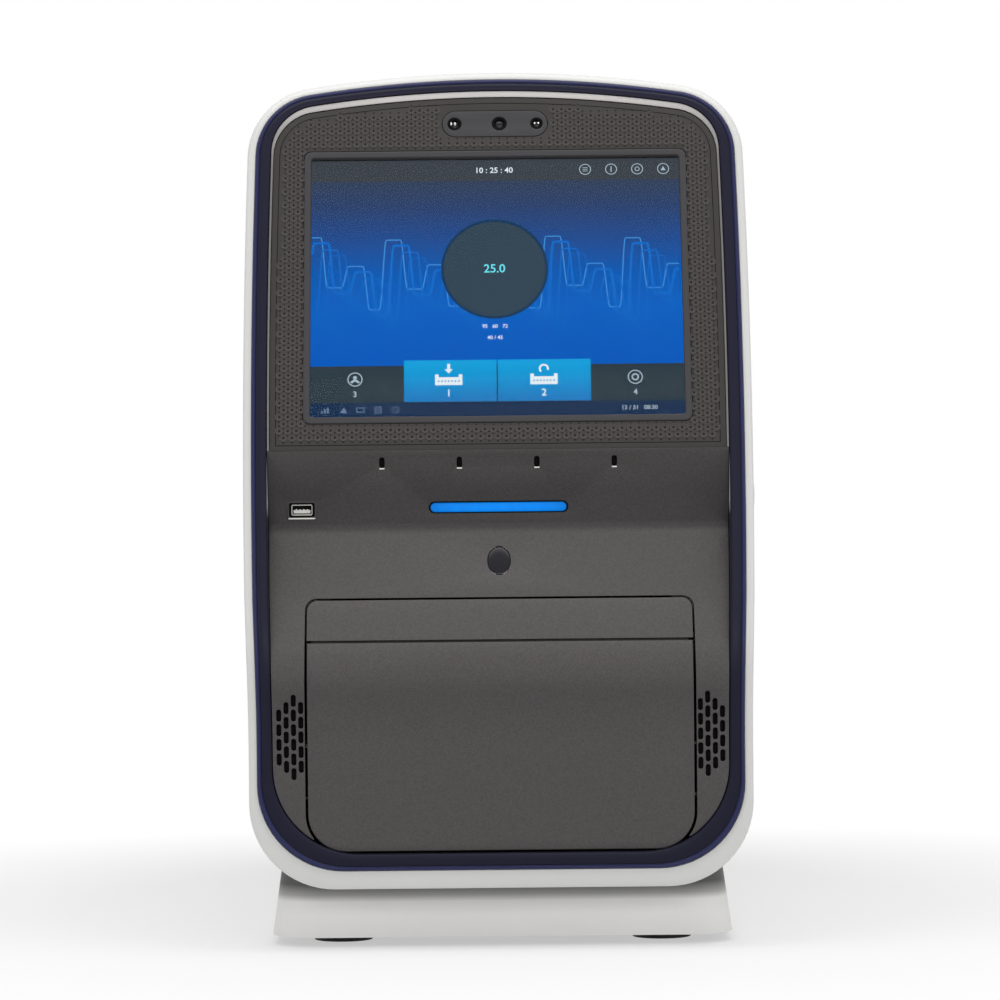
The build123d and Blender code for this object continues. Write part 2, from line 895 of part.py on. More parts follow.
frame_rear = base_rear - frame_gap
frame_depth_y = frame_rear - frame_front
with BuildPart() as chassis_frames:
    for hand in (1, -1):
        with BuildSketch(Plane.YZ.offset(hand * frame_x)):
            with Locations((frame_front + frame_depth_y / 2, (base_top + deck_z) / 2)):
                Rectangle(frame_depth_y, deck_z - base_top)
            with Locations((frame_rear - frame_rear_length / 2, (deck_z + frame_top) / 2)):
                Rectangle(frame_rear_length, frame_top - deck_z)
            with Locations(
                (frame_rear - frame_rear_length / 2, (deck_z + frame_top) / 2 + frame_window_rise)
            ):
                RectangleRounded(frame_window_length, frame_window_height, 12, mode=Mode.SUBTRACT)
        extrude(amount=hand * sheet)
chassis_frames.part.label = "chassis_frames"

# Deck that carries the optics, hung between the uprights
deck_front = frame_front + 6
deck_rear = rear_y - 130
with BuildPart() as optics_deck:
    with BuildSketch(Plane.XY.offset(deck_z - deck_sheet)):
        with Locations((0, (deck_front + deck_rear) / 2)):
            Rectangle(2 * frame_x - 2 * fit, deck_rear - deck_front)
        with Locations((0, block_y)):
            Circle(field_lens_diameter / 2 - 4, mode=Mode.SUBTRACT)
        for x in (-rod_x, rod_x):
            with Locations((x, block_y)):
                Circle(rod_diameter / 2 + 1, mode=Mode.SUBTRACT)
    extrude(amount=deck_sheet)
optics_deck.part.label = "optics_deck"

# Rear panel with vents and the cut-outs for fans, power entry and ports
panel_y = rear_y - panel_setback
panel_edge = head_outline(shell_wall + fit, shell_wall + fit, shell_wall + fit)
with BuildPart() as rear_panel:
    with BuildSketch(Plane.XZ.offset(-panel_y)):
        add(panel_edge)
        for x in (-fan_x, fan_x):
            with BuildSketch(mode=Mode.SUBTRACT):
                with Locations((x, fan_z)):
                    with GridLocations(1, fan_slot_pitch, 1, 9):
                        Rectangle(fan_size, fan_slot)
                    Circle(fan_bore / 2 - 1, mode=Mode.INTERSECT)
        with Locations((0, vent_z)):
            with GridLocations(vent_pitch, 1, vent_count, 1):
                Rectangle(fan_slot, vent_height, mode=Mode.SUBTRACT)
        with Locations((entry_x, entry_z)):
            Rectangle(entry_width + 2 * fit, entry_height + 2 * fit, mode=Mode.SUBTRACT)
        with Locations((ports_x, ports_z)):
            Rectangle(jack_width + 2 * fit, jack_height + 2 * fit, mode=Mode.SUBTRACT)
        with Locations((ports_x + ports_pitch, ports_z)):
            Rectangle(stack_width + 2 * fit, stack_height + 2 * fit, mode=Mode.SUBTRACT)
    extrude(amount=sheet)
rear_panel.part.label = "rear_panel"

# Rear fans: two square frames, each with its own turning rotor
fan_back = panel_y - sheet
with BuildPart() as rear_fan_frames:
    with BuildSketch(Plane.XZ.offset(-fan_back)):
        for x in (-fan_x, fan_x):
            with Locations((x, fan_z)):
                RectangleRounded(fan_size, fan_size, 4)
                Circle(fan_bore / 2, mode=Mode.SUBTRACT)
    extrude(amount=fan_depth)
    with BuildSketch(Plane.XZ.offset(-(fan_back - fan_depth))):
        for x in (-fan_x, fan_x):
            with Locations((x, fan_z)):
                Circle(fan_hub / 2)
                for turn in (45, 135):
                    Rectangle(fan_bore + 4, 4, rotation=turn)
    extrude(amount=-3)
    with BuildSketch(Plane.XZ.offset(-(fan_back - fan_depth + 3))):
        for x in (-fan_x, fan_x):
            with Locations((x, fan_z)):
                Circle(3)
    extrude(amount=-14)
rear_fan_frames.part.label = "rear_fan_frames"


def fan_rotor(x):
    """Fan rotor: a hub that runs on the frame's pin, with pitched blades."""
    middle = Plane(origin=(x, fan_back - fan_depth / 2 + 1.5, fan_z), z_dir=(0, 1, 0))
    with BuildPart(middle) as rotor:
        Cylinder(fan_hub / 2, fan_depth - 6)
        with PolarLocations(fan_hub / 4 + fan_bore / 4 - 1, fan_blades):
            Box(fan_bore / 2 - fan_hub / 2, 1.4, fan_depth - 4, rotation=(38, 0, 0))
        with BuildSketch(middle.offset(-(fan_depth - 7) / 2)) as sweep_circle:
            Circle(fan_bore / 2 - 1)
        extrude(amount=fan_depth - 7, mode=Mode.INTERSECT)
        with Locations((0, 0, -(fan_depth - 6) / 2)):
            Cylinder(3 + run_fit, 18, align=(Align.CENTER, Align.CENTER, Align.MIN), mode=Mode.SUBTRACT)
    return rotor


rear_fan_left = fan_rotor(-fan_x)
rear_fan_left.part.label = "rear_fan_left"
rear_fan_right = fan_rotor(fan_x)
rear_fan_right.part.label = "rear_fan_right"

# Power entry module: mains inlet below, rocker switch above
inlet_z = entry_z - 13
rocker_z = entry_z + 17
entry_face = panel_y + 1.6
with BuildPart() as power_entry:
    with BuildSketch(Plane.XZ.offset(-entry_face)):
        with Locations((entry_x, entry_z)):
            RectangleRounded(entry_width + 6, entry_height + 6, 2)
    extrude(amount=1.6)
    with BuildSketch(Plane.XZ.offset(-panel_y)):
        with Locations((entry_x, entry_z)):
            Rectangle(entry_width, entry_height)
    extrude(amount=entry_depth)
    with BuildSketch(Plane.XZ.offset(-entry_face)):
        with Locations((entry_x, inlet_z)):
            Rectangle(inlet_width, inlet_height)
    extrude(amount=inlet_depth, mode=Mode.SUBTRACT)
    with BuildSketch(Plane.XZ.offset(-(entry_face - inlet_depth))):
        with Locations((entry_x, inlet_z)):
            with Locations((-7, -2), (0, 2), (7, -2)):
                Rectangle(2, 5)
    extrude(amount=-(inlet_depth - 6))
    with BuildSketch(Plane.XZ.offset(-entry_face)):
        with Locations((entry_x, rocker_z)):
            Rectangle(rocker_width + 2 * fit, rocker_height + 2 * fit)
    extrude(amount=rocker_depth + 4, mode=Mode.SUBTRACT)
    with BuildSketch(Plane.YZ.offset(entry_x - rocker_width / 2 - fit)):
        with Locations((entry_face - rocker_pin_depth, rocker_z)):
            Circle(rocker_pin / 2)
    extrude(amount=rocker_width + 2 * fit)
power_entry.part.label = "power_entry"

# Rocker: two faces that meet in a shallow valley, turning on the module's pin
pivot_y = entry_face - rocker_pin_depth
with BuildPart() as power_rocker:
    with BuildSketch(Plane.YZ.offset(entry_x - rocker_width / 2)):
        with Locations(Location((pivot_y, rocker_z), -rocker_swing / 2)):
            with BuildSketch(mode=Mode.PRIVATE) as rocker_side:
                with BuildLine():
                    Polyline(
                        (-3, -3),
                        (rocker_pin_depth, -rocker_height / 2 + 1.4),
                        (rocker_pin_depth - 1.2, 0),
                        (rocker_pin_depth, rocker_height / 2 - 1.4),
                        (-3, 3),
                        close=True,
                    )
                make_face()
                Circle(rocker_pin / 2 + run_fit, mode=Mode.SUBTRACT)
            add(rocker_side.sketch)
    extrude(amount=rocker_width)
power_rocker.part.label = "power_rocker"

# Network jack and stacked data ports
port_face = panel_y + 0.6
jack_x = ports_x
stack_x = ports_x + ports_pitch
with BuildPart() as rear_ports:
    with BuildSketch(Plane.XZ.offset(-port_face)):
        with Locations((jack_x, ports_z)):
            Rectangle(jack_width, jack_height)
        with Locations((stack_x, ports_z)):
            Rectangle(stack_width, stack_height)
    extrude(amount=port_depth)
    with BuildSketch(Plane.XZ.offset(-port_face)):
        with Locations((jack_x, ports_z)):
            Rectangle(jack_width - 4.4, jack_height - 6.5)
            with Locations((0, (jack_height - 6.5) / 2)):
                Rectangle(6, 5)
    extrude(amount=port_depth - 4, mode=Mode.SUBTRACT)
    for rise in (-stack_height / 4, stack_height / 4):
        with BuildSketch(Plane.XZ.offset(-port_face)):
            with Locations((stack_x, ports_z + rise)):
                Rectangle(stack_width - 1.4, 5.6)
        extrude(amount=port_depth - 4, mode=Mode.SUBTRACT)
        with BuildSketch(Plane.XZ.offset(-(port_face - port_depth + 4))):
            with Locations((stack_x, ports_z + rise + 1)):
                Rectangle(stack_width - 3.4, 1.8)
        extrude(amount=-(port_depth - 6))
rear_ports.part.label = "rear_ports"

# Screws that hold the rear panel, with domed heads
screw_rows = ((78, 8), (200, 0), (330, 0), (460, 0), (545, 18))
screw_places = [(hand * (panel_screw_x - inset), z) for hand in (1, -1) for z, inset in screw_rows]
with BuildPart() as panel_screws:
    with BuildSketch(Plane.XZ.offset(-panel_y)):
        with Locations(*screw_places):
            RegularPolygon(3.6, 8)
    extrude(amount=-2)
panel_screws.part.label = "panel_screws"

# Power supply and main board
with BuildPart() as power_supply:
    with BuildSketch(Plane.XY.offset(base_top)):
        with Locations((supply_x, supply_y)):
            Rectangle(supply_width, supply_length)
    extrude(amount=supply_height)
    with BuildSketch(Plane.XY.offset(base_top + supply_height)):
        with Locations((supply_x, supply_y)):
            with GridLocations(1, 8, 1, 12):
                Rectangle(supply_width - 30, 3)
    extrude(amount=-1, mode=Mode.SUBTRACT)
power_supply.part.label = "power_supply"

board_x = -(frame_x - 6)
with BuildPart() as main_board:
    with BuildSketch(Plane.YZ.offset(board_x)):
        with Locations((board_y, board_z)):
            Rectangle(board_length, board_height)
    extrude(amount=1.6)
    with BuildSketch(Plane.YZ.offset(board_x + 1.6)):
        with Locations((board_y - 30, board_z + 10)):
            Rectangle(42, 42)
        with Locations((board_y + 45, board_z + 20)):
            Rectangle(30, 60)
        with Locations((board_y + 10, board_z - 50)):
            Rectangle(120, 10)
    extrude(amount=8)
    with BuildSketch(Plane.YZ.offset(board_x)):
        with Locations((board_y, board_z)):
            with GridLocations(board_length - 12, board_height - 12, 2, 2):
                Circle(3)
    extrude(amount=-6 + fit)
main_board.part.label = "main_board"

# Telescopic slides: outer rails on the uprights, inner rails on the carriage
rail_outer_x = frame_x - fit
with BuildPart() as slide_outer_rails:
    for hand in (1, -1):
        with BuildSketch(Plane.XZ.offset(-rail_start)):
            with Locations((hand * (rail_outer_x - rail_depth / 2), rail_z)):
                Rectangle(rail_depth, rail_height)
            with Locations((hand * (rail_outer_x - rail_depth / 2 - sheet), rail_z)):
                Rectangle(rail_depth, rail_height - 2 * sheet, mode=Mode.SUBTRACT)
        extrude(amount=-rail_length)
slide_outer_rails.part.label = "slide_outer_rails"

# Inner rails, which slide in the outer rails with the drawer
with BuildPart() as slide_inner_rails:
    for hand in (1, -1):
        with BuildSketch(Plane.XZ.offset(-carriage_front)):
            with Locations((hand * (carriage_half + rail_inner_depth / 2), rail_z)):
                Rectangle(rail_inner_depth, rail_height - 2 * sheet - 2 * fit)
            with Locations((hand * (carriage_half + rail_inner_depth / 2 + sheet), rail_z)):
                Rectangle(rail_inner_depth, rail_height - 6 * sheet, mode=Mode.SUBTRACT)
        extrude(amount=-rail_inner_length)
slide_inner_rails.part.label = "slide_inner_rails"

# Heights of the cooling stack under the block
block_bottom = block_top - block_height
sink_top = block_bottom - peltier_thick
floor_front = front_y + face_wall + toe_tuck * ((roll_z - carriage_floor) / (roll_z - toe_z)) ** 2 + fit

# Carriage: a folded tray with shelves for the heat sink and the nut of the screw
wall_top = deck_top - deck_plate
carriage_middle = (carriage_front + carriage_rear) / 2
carriage_length = carriage_rear - carriage_front
with BuildPart() as drawer_carriage:
    with BuildSketch(Plane.XY.offset(carriage_floor)):
        with Locations((0, (floor_front + carriage_rear) / 2)):
            Rectangle(2 * carriage_half, carriage_rear - floor_front)
    extrude(amount=sheet)
    with BuildSketch(Plane.XY.offset(carriage_floor)):
        for hand in (1, -1):
            with Locations((hand * (carriage_half - sheet / 2), carriage_middle)):
                Rectangle(sheet, carriage_length)
        with Locations((0, carriage_rear - sheet / 2)):
            Rectangle(2 * carriage_half, sheet)
    extrude(amount=wall_top - carriage_floor)
    with BuildSketch(Plane.XY.offset(sink_top - sink_base)):
        for hand in (1, -1):
            with Locations((hand * (carriage_half + shelf_inner) / 2, block_y)):
                Rectangle(carriage_half - shelf_inner, sink_depth)
    extrude(amount=-3)
    with BuildSketch(Plane.XZ.offset(-carriage_rear)):
        with Locations((screw_x, (carriage_floor + nut_bottom) / 2)):
            Rectangle(nut_width, carriage_floor - nut_bottom)
        with Locations((screw_x, screw_z)):
            Circle(screw_diameter / 2 + run_fit, mode=Mode.SUBTRACT)
    extrude(amount=nut_length)
    with BuildSketch(Plane.XZ.offset(-carriage_rear)):
        with GridLocations(24, 1, 7, 1):
            with Locations((0, (carriage_floor + wall_top) / 2)):
                add(slot_shape(12, 60))
    extrude(amount=sheet, mode=Mode.SUBTRACT)
drawer_carriage.part.label = "drawer_carriage"

# Deck of the drawer: a moulded top with the plate nest, its walls and finger scallops
with BuildPart() as drawer_deck:
    with BuildSketch(Plane.XY.offset(wall_top)):
        with Locations((0, carriage_middle)):
            Rectangle(2 * deck_half, carriage_length)
    extrude(amount=deck_plate)
    fillet(drawer_deck.edges().group_by(Axis.Z)[-1].filter_by(Axis.Y), 1.5)
    with BuildSketch(Plane.XY.offset(wall_top)):
        with Locations((0, block_y)):
            Rectangle(nest_width + 2 * nest_wall, nest_depth + 2 * nest_wall)
    extrude(amount=-nest_drop)
    with BuildSketch(Plane.XY.offset(deck_top)):
        with Locations((0, block_y)):
            Rectangle(nest_width, nest_depth)
            with Locations((-nest_width / 2, nest_depth / 2)):
                Rectangle(8, 8, rotation=45, mode=Mode.SUBTRACT)
    extrude(amount=-(nest_drop + deck_plate), mode=Mode.SUBTRACT)
    with BuildSketch(Plane.XY.offset(deck_top)):
        with Locations((0, block_y)):
            with GridLocations(nest_width + 8, 1, 2, 1):
                Circle(13)
    extrude(amount=-(deck_plate + nest_drop - 2), mode=Mode.SUBTRACT)
drawer_deck.part.label = "drawer_deck"

# Sample block with 96 tapered wells
with BuildPart() as sample_block:
    with BuildSketch(Plane.XY.offset(block_top - block_height)):
        with Locations((0, block_y)):
            Rectangle(block_width + 5, block_depth + 5)
    extrude(amount=block_flange)
    with BuildSketch(Plane.XY.offset(block_top - block_height)):
        with Locations((0, block_y)):
            Rectangle(block_width, block_depth)
    extrude(amount=block_height)
    with BuildSketch(Plane.XY.offset(block_top)):
        with Locations((0, block_y)):
            with GridLocations(well_pitch, well_pitch, 12, 8):
                RegularPolygon(well_mouth / 2, 8)
    extrude(amount=-well_depth, taper=well_taper, mode=Mode.SUBTRACT)
sample_block.part.label = "sample_block"

# Six thermoelectric modules between block and heat sink
with BuildPart() as peltier_modules:
    with BuildSketch(Plane.XY.offset(sink_top)):
        with Locations((0, block_y)):
            with GridLocations(peltier_size + 1.5, peltier_size + 1.5, 3, 2):
                Rectangle(peltier_size, peltier_size)
    extrude(amount=peltier_thick)
peltier_modules.part.label = "peltier_modules"

# Heat sink with its comb of fins
with BuildPart() as heat_sink:
    with BuildSketch(Plane.XY.offset(sink_top)):
        with Locations((0, block_y)):
            Rectangle(sink_width, sink_depth)
    extrude(amount=-sink_base)
    with BuildSketch(Plane.XY.offset(sink_top - sink_base)):
        with Locations((0, block_y)):
            with GridLocations((2 * (shelf_inner - 2) - fin_thick) / (fin_count - 1), 1, fin_count, 1):
                Rectangle(fin_thick, sink_depth)
    extrude(amount=-fin_height)
heat_sink.part.label = "heat_sink"

# Lead screw and the motor that turns it
with BuildPart() as drawer_screw:
    with BuildSketch(Plane.XZ.offset(-screw_front)):
        with Locations((screw_x, screw_z)):
            Circle(screw_diameter / 2)
    extrude(amount=-(screw_rear - screw_front))
    with BuildSketch(Plane.XZ.offset(-screw_rear)):
        with Locations((screw_x, screw_z)):
            Circle(coupling_diameter / 2)
            Circle(motor_shaft / 2 + run_fit, mode=Mode.SUBTRACT)
    extrude(amount=-coupling_length)
drawer_screw.part.label = "drawer_screw"

motor_front = screw_rear + coupling_length + 3
with BuildPart() as drawer_motor:
    with BuildSketch(Plane.XZ.offset(-motor_front)):
        with Locations((screw_x, screw_z)):
            Rectangle(motor_size, motor_size)
    extrude(amount=-motor_length)
    with BuildSketch(Plane.XZ.offset(-motor_front)):
        with Locations((screw_x, screw_z)):
            Circle(motor_shaft / 2)
    extrude(amount=motor_front - screw_rear - 1)
drawer_motor.part.label = "drawer_motor"

# Heated cover: a frame over the platen, with an arm and a lifting rod each side
with BuildPart() as heated_cover:
    with BuildSketch(Plane.XY.offset(cover_bottom)):
        with Locations((0, block_y)):
            RectangleRounded(cover_width, cover_depth, 6)
    extrude(amount=cover_height)
    with BuildSketch(Plane.XY.offset(cover_bottom)):
        with Locations((0, block_y)):
            Rectangle(cover_width - 2 * cover_wall, cover_depth - 2 * cover_wall)
    extrude(amount=platen_thick, mode=Mode.SUBTRACT)
    with BuildSketch(Plane.XY.offset(cover_bottom)):
        with Locations((0, block_y)):
            Rectangle(cover_width - 6 * cover_wall, cover_depth - 6 * cover_wall)
    extrude(amount=cover_height - cover_wall, mode=Mode.SUBTRACT)
    with BuildSketch(Plane.XY.offset(cover_bottom)):
        with Locations((0, block_y)):
            Rectangle(block_width, block_depth)
    extrude(amount=cover_height, mode=Mode.SUBTRACT)
    with BuildSketch(Plane.XY.offset(cover_bottom + cover_height)):
        for hand in (1, -1):
            with Locations((hand * (cover_width / 2 + rod_x + 8) / 2, block_y)):
                Rectangle(rod_x + 8 - cover_width / 2 + 2, 24)
    extrude(amount=-12)
heated_cover.part.label = "heated_cover"

with BuildPart() as heated_platen:
    with BuildSketch(Plane.XY.offset(cover_bottom)):
        with Locations((0, block_y)):
            Rectangle(cover_width - 2 * cover_wall - 2 * fit, cover_depth - 2 * cover_wall - 2 * fit)
            with GridLocations(well_pitch, well_pitch, 12, 8):
                RegularPolygon(platen_hole / 2, 6, mode=Mode.SUBTRACT)
    extrude(amount=platen_thick)
heated_platen.part.label = "heated_platen"

rod_low = cover_bottom + cover_height
rod_top = deck_z + actuator_height + cover_travel + 8
with BuildPart() as cover_rods:
    with BuildSketch(Plane.XY.offset(rod_low)):
        with Locations((-rod_x, block_y), (rod_x, block_y)):
            Circle(rod_diameter / 2)
    extrude(amount=rod_top - rod_low)
cover_rods.part.label = "cover_rods"

# Linear actuators on the deck, which the rods run through
with BuildPart() as cover_actuators:
    with BuildSketch(Plane.XY.offset(deck_z)):
        with Locations((-rod_x, block_y), (rod_x, block_y)):
            Rectangle(actuator_size, actuator_size)
            Circle(rod_diameter / 2 + run_fit, mode=Mode.SUBTRACT)
    extrude(amount=actuator_height)
    chamfer(cover_actuators.edges().filter_by(Axis.Z).filter_by(GeomType.LINE), 3)
cover_actuators.part.label = "cover_actuators"

# Field lens over the deck's aperture: one flat and one domed side
dome_radius = ((field_lens_diameter / 2) ** 2 + lens_rise**2) / (2 * lens_rise)
with BuildPart(Plane((0, block_y, deck_z))) as field_lens:
    Cylinder(
        field_lens_diameter / 2, lens_edge + lens_rise, align=(Align.CENTER, Align.CENTER, Align.MIN)
    )
    with Locations((0, 0, lens_edge + lens_rise - dome_radius)):
        Sphere(dome_radius, mode=Mode.INTERSECT)
field_lens.part.label = "field_lens"

# Optics column: an open-bottomed light-tight box with two windows to the rear
with BuildPart() as optics_column:
    with BuildSketch(Plane.XY.offset(deck_z)):
        with Locations((0, block_y)):
            RectangleRounded(2 * column_half, 2 * column_half, 6)
    extrude(amount=column_top - deck_z)
    with BuildSketch(Plane.XY.offset(deck_z)):
        with Locations((0, block_y)):
            Rectangle(2 * (column_half - column_wall), 2 * (column_half - column_wall))
    extrude(amount=column_top - deck_z - column_wall, mode=Mode.SUBTRACT)
    with BuildSketch(Plane.XZ.offset(-(block_y + column_half + 1))):
        with Locations((0, split_z), (0, fold_z)):
            Rectangle(window_size, window_size)
    extrude(amount=column_wall + 2, mode=Mode.SUBTRACT)
optics_column.part.label = "optics_column"

# Beam splitter below and fold mirror above, both at 45 degrees
with BuildPart() as optics_mirrors:
    for middle_z, thick in ((split_z, 2), (fold_z, 5)):
        with BuildSketch(Plane(origin=(0, block_y, middle_z), x_dir=(1, 0, 0), z_dir=(0, -1, 1))):
            Rectangle(2 * (column_half - column_wall - fit), mirror_length)
        extrude(amount=thick)
optics_mirrors.part.label = "optics_mirrors"

# Bulkhead behind the column, with light holes and holes for the wheel shafts
wheels = {"excitation_wheel": (filter_radius, split_z), "emission_wheel": (-filter_radius, fold_z)}
with BuildPart() as optics_bulkhead:
    with BuildSketch(Plane.XZ.offset(-(bulkhead_y + bulkhead_thick))):
        with Locations((0, (deck_z + column_top) / 2)):
            Rectangle(2 * bulkhead_half, column_top - deck_z)
        with Locations((0, split_z), (0, fold_z)):
            Circle(light_hole / 2, mode=Mode.SUBTRACT)
        with Locations(*wheels.values()):
            Circle(shaft_diameter / 2 + 1, mode=Mode.SUBTRACT)
    extrude(amount=bulkhead_thick)
    with BuildSketch(Plane.XY.offset(deck_z)):
        with Locations((0, bulkhead_y + bulkhead_thick + 12)):
            Rectangle(2 * bulkhead_half, 24)
    extrude(amount=bulkhead_thick)
optics_bulkhead.part.label = "optics_bulkhead"


def filter_wheel(label):
    """Wheel with six filters round a hub; the filters are separate solids."""
    x, z = wheels[label]
    back = Plane.XZ.offset(-(wheel_y + wheel_thick / 2))
    with BuildPart() as wheel:
        with BuildSketch(back):
            with Locations((x, z)):
                Circle(wheel_diameter / 2)
                with PolarLocations(filter_radius, filter_count, 180 if x > 0 else 0):
                    Circle(filter_diameter / 2, mode=Mode.SUBTRACT)
        extrude(amount=wheel_thick)
        with BuildSketch(back):
            with Locations((x, z)):
                Circle(hub_diameter / 2)
        extrude(amount=-4)
        with BuildSketch(Plane.XZ):
            with Locations((x, z)):
                Circle(shaft_diameter / 2 + run_fit)
        extrude(amount=reach, both=True, mode=Mode.SUBTRACT)
        with BuildSketch(Plane.XZ.offset(-(wheel_y + filter_thick / 2))):
            with Locations((x, z)):
                with PolarLocations(filter_radius, filter_count, 180 if x > 0 else 0):
                    RegularPolygon(filter_diameter / 2 - 0.8, 12)
        extrude(amount=filter_thick)
    wheel.part.label = label
    return wheel


excitation_wheel = filter_wheel("excitation_wheel")
emission_wheel = filter_wheel("emission_wheel")

# Motors of the two wheels, with shafts that reach through the bulkhead
bulkhead_back = bulkhead_y + bulkhead_thick
with BuildPart() as filter_motors:
    with BuildSketch(Plane.XZ.offset(-bulkhead_back)):
        with Locations(*wheels.values()):
            Rectangle(wheel_motor, wheel_motor)
    extrude(amount=-wheel_motor)
    with BuildSketch(Plane.XZ.offset(-bulkhead_back)):
        with Locations(*wheels.values()):
            Circle(shaft_diameter / 2)
    extrude(amount=bulkhead_back - wheel_y + wheel_thick / 2 + 1)
filter_motors.part.label = "filter_motors"

# Lamp: barrel, LED body and cooling fins
with BuildPart() as led_source:
    with BuildSketch(Plane.XZ.offset(-bulkhead_back)):
        with Locations((0, split_z)):
            Circle(light_hole / 2 + 2)
    extrude(amount=-barrel_length)
    with BuildSketch(Plane.XZ.offset(-(bulkhead_back + barrel_length))):
        with Locations((0, split_z)):
            Rectangle(56, 56)
    extrude(amount=-12)
    with BuildSketch(Plane.XZ.offset(-(bulkhead_back + barrel_length + 12))):
        with Locations((0, split_z)):
            with GridLocations(7.7, 1, 8, 1):
                Rectangle(2, 56)
    extrude(amount=-30)
led_source.part.label = "led_source"

# Camera with its lens
with BuildPart() as optics_camera:
    with BuildSketch(Plane.XZ.offset(-bulkhead_back)):
        with Locations((0, fold_z)):
            Circle(light_hole / 2 + 3)
    extrude(amount=-barrel_length)
    with BuildSketch(Plane.XZ.offset(-(bulkhead_back + barrel_length))):
        with Locations((0, fold_z)):
            RectangleRounded(54, 54, 4)
    extrude(amount=-46)
optics_camera.part.label = "optics_camera"

# Export of all pieces
pieces = [
    front_shell,
    trim_ring,
    bezel_rim,
    screen_surround,
    screen_frame,
    touch_glass,
    display_panel,
    sensor_window,
    sensor_cameras,
    fascia,
    microphones,
    light_bar,
    light_board,
    presence_sensor,
    front_usb_port,
    speakers,
    drawer_front,
    drawer_top_strip,
    standby_button,
    standby_switch,
    side_cover_right,
    side_cover_left,
    top_cover,
    base_plinth,
    rubber_feet,
    chassis_base,
    chassis_frames,
    optics_deck,
    rear_panel,
    rear_fan_frames,
    rear_fan_left,
    rear_fan_right,
    power_entry,
    power_rocker,
    rear_ports,
    panel_screws,
    power_supply,
    main_board,
    slide_outer_rails,
    slide_inner_rails,
    drawer_carriage,
    drawer_deck,
    sample_block,
    peltier_modules,
    heat_sink,
    drawer_screw,
    drawer_motor,
    heated_cover,
    heated_platen,
    cover_rods,
    cover_actuators,
    field_lens,
    optics_column,
    optics_mirrors,
    optics_bulkhead,
    excitation_wheel,
    emission_wheel,
    filter_motors,
    led_source,
    optics_camera,
]
for piece in pieces:
    export_step(piece.part, f"parts/{piece.part.label}.step")
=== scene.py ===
import bmesh
import bpy
import json
import math
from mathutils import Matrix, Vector
from mathutils.geometry import delaunay_2d_cdt

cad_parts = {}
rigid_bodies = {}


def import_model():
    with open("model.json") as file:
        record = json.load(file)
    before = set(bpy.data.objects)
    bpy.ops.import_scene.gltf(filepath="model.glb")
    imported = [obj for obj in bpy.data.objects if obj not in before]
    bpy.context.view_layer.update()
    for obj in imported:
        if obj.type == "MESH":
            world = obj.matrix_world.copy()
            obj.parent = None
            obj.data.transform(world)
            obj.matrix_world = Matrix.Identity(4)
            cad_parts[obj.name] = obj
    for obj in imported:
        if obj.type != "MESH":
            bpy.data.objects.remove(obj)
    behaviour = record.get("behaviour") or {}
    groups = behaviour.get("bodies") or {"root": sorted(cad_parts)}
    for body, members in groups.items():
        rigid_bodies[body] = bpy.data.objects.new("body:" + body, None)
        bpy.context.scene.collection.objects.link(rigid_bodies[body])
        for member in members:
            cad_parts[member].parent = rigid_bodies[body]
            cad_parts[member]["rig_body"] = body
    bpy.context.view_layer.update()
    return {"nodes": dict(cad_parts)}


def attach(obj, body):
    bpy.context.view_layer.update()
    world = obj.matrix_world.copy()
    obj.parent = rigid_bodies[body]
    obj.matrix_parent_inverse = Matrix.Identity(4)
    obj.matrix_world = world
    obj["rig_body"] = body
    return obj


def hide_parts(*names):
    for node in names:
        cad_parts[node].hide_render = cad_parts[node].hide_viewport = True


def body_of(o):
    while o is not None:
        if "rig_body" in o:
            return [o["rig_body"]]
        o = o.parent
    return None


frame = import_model()
mm = 0.001
right, rearward, above = Vector((1, 0, 0)), Vector((0, 1, 0)), Vector((0, 0, 1))

# Front outline of the head, as in the part's source
head_top, head_bottom = 577 * mm, 40 * mm
foot_half, knee_z = 162 * mm, 125 * mm
bow_half, bow_z = 164.5 * mm, 225 * mm
waist_half, waist_arc_z = 166.9 * mm, 360 * mm
shoulder_half = 164.8 * mm
crown_arc, crown_radius, heel_radius = 800 * mm, 48 * mm, 55 * mm

# Side line of the front and of the grey face
front_edge, rear_edge = -320 * mm, 320 * mm
lean = math.radians(19)
ridge_y, ridge_z = -273 * mm, 322 * mm
rim_y, bend_radius = -317 * mm, 120 * mm
waist_y, waist_z, waist_radius = -271 * mm, 272 * mm, 12 * mm
brow_z, brow_radius = 182 * mm, 60 * mm
roll_z, toe_z, toe_tuck = 160 * mm, 50 * mm, 6 * mm

# Insets of the bands from the white edge: side, top and bottom
white_band = (5.6 * mm, 5 * mm, 12 * mm)
dark_band = (15.6 * mm, 12.9 * mm, 23 * mm)
bright_band = (17.3 * mm, 17.2 * mm, 23.3 * mm)
fit = 0.3 * mm

# Screen, measured up the leaning plane from the ridge
screen_width, screen_height, screen_rise = 245.8 * mm, 184.3 * mm, 116 * mm
sensor_rise = 232.3 * mm
mic_z, light_z, eye_z = 314 * mm, 284.5 * mm, 249.7 * mm


# Plain outlines, as lists of points
def arc(centre, radius, start, stop, steps):
    """Points on an arc, angles in degrees, both ends included."""
    points = []
    for step in range(steps + 1):
        angle = math.radians(start + (stop - start) * step / steps)
        points.append((centre[0] + radius * math.cos(angle), centre[1] + radius * math.sin(angle)))
    return points


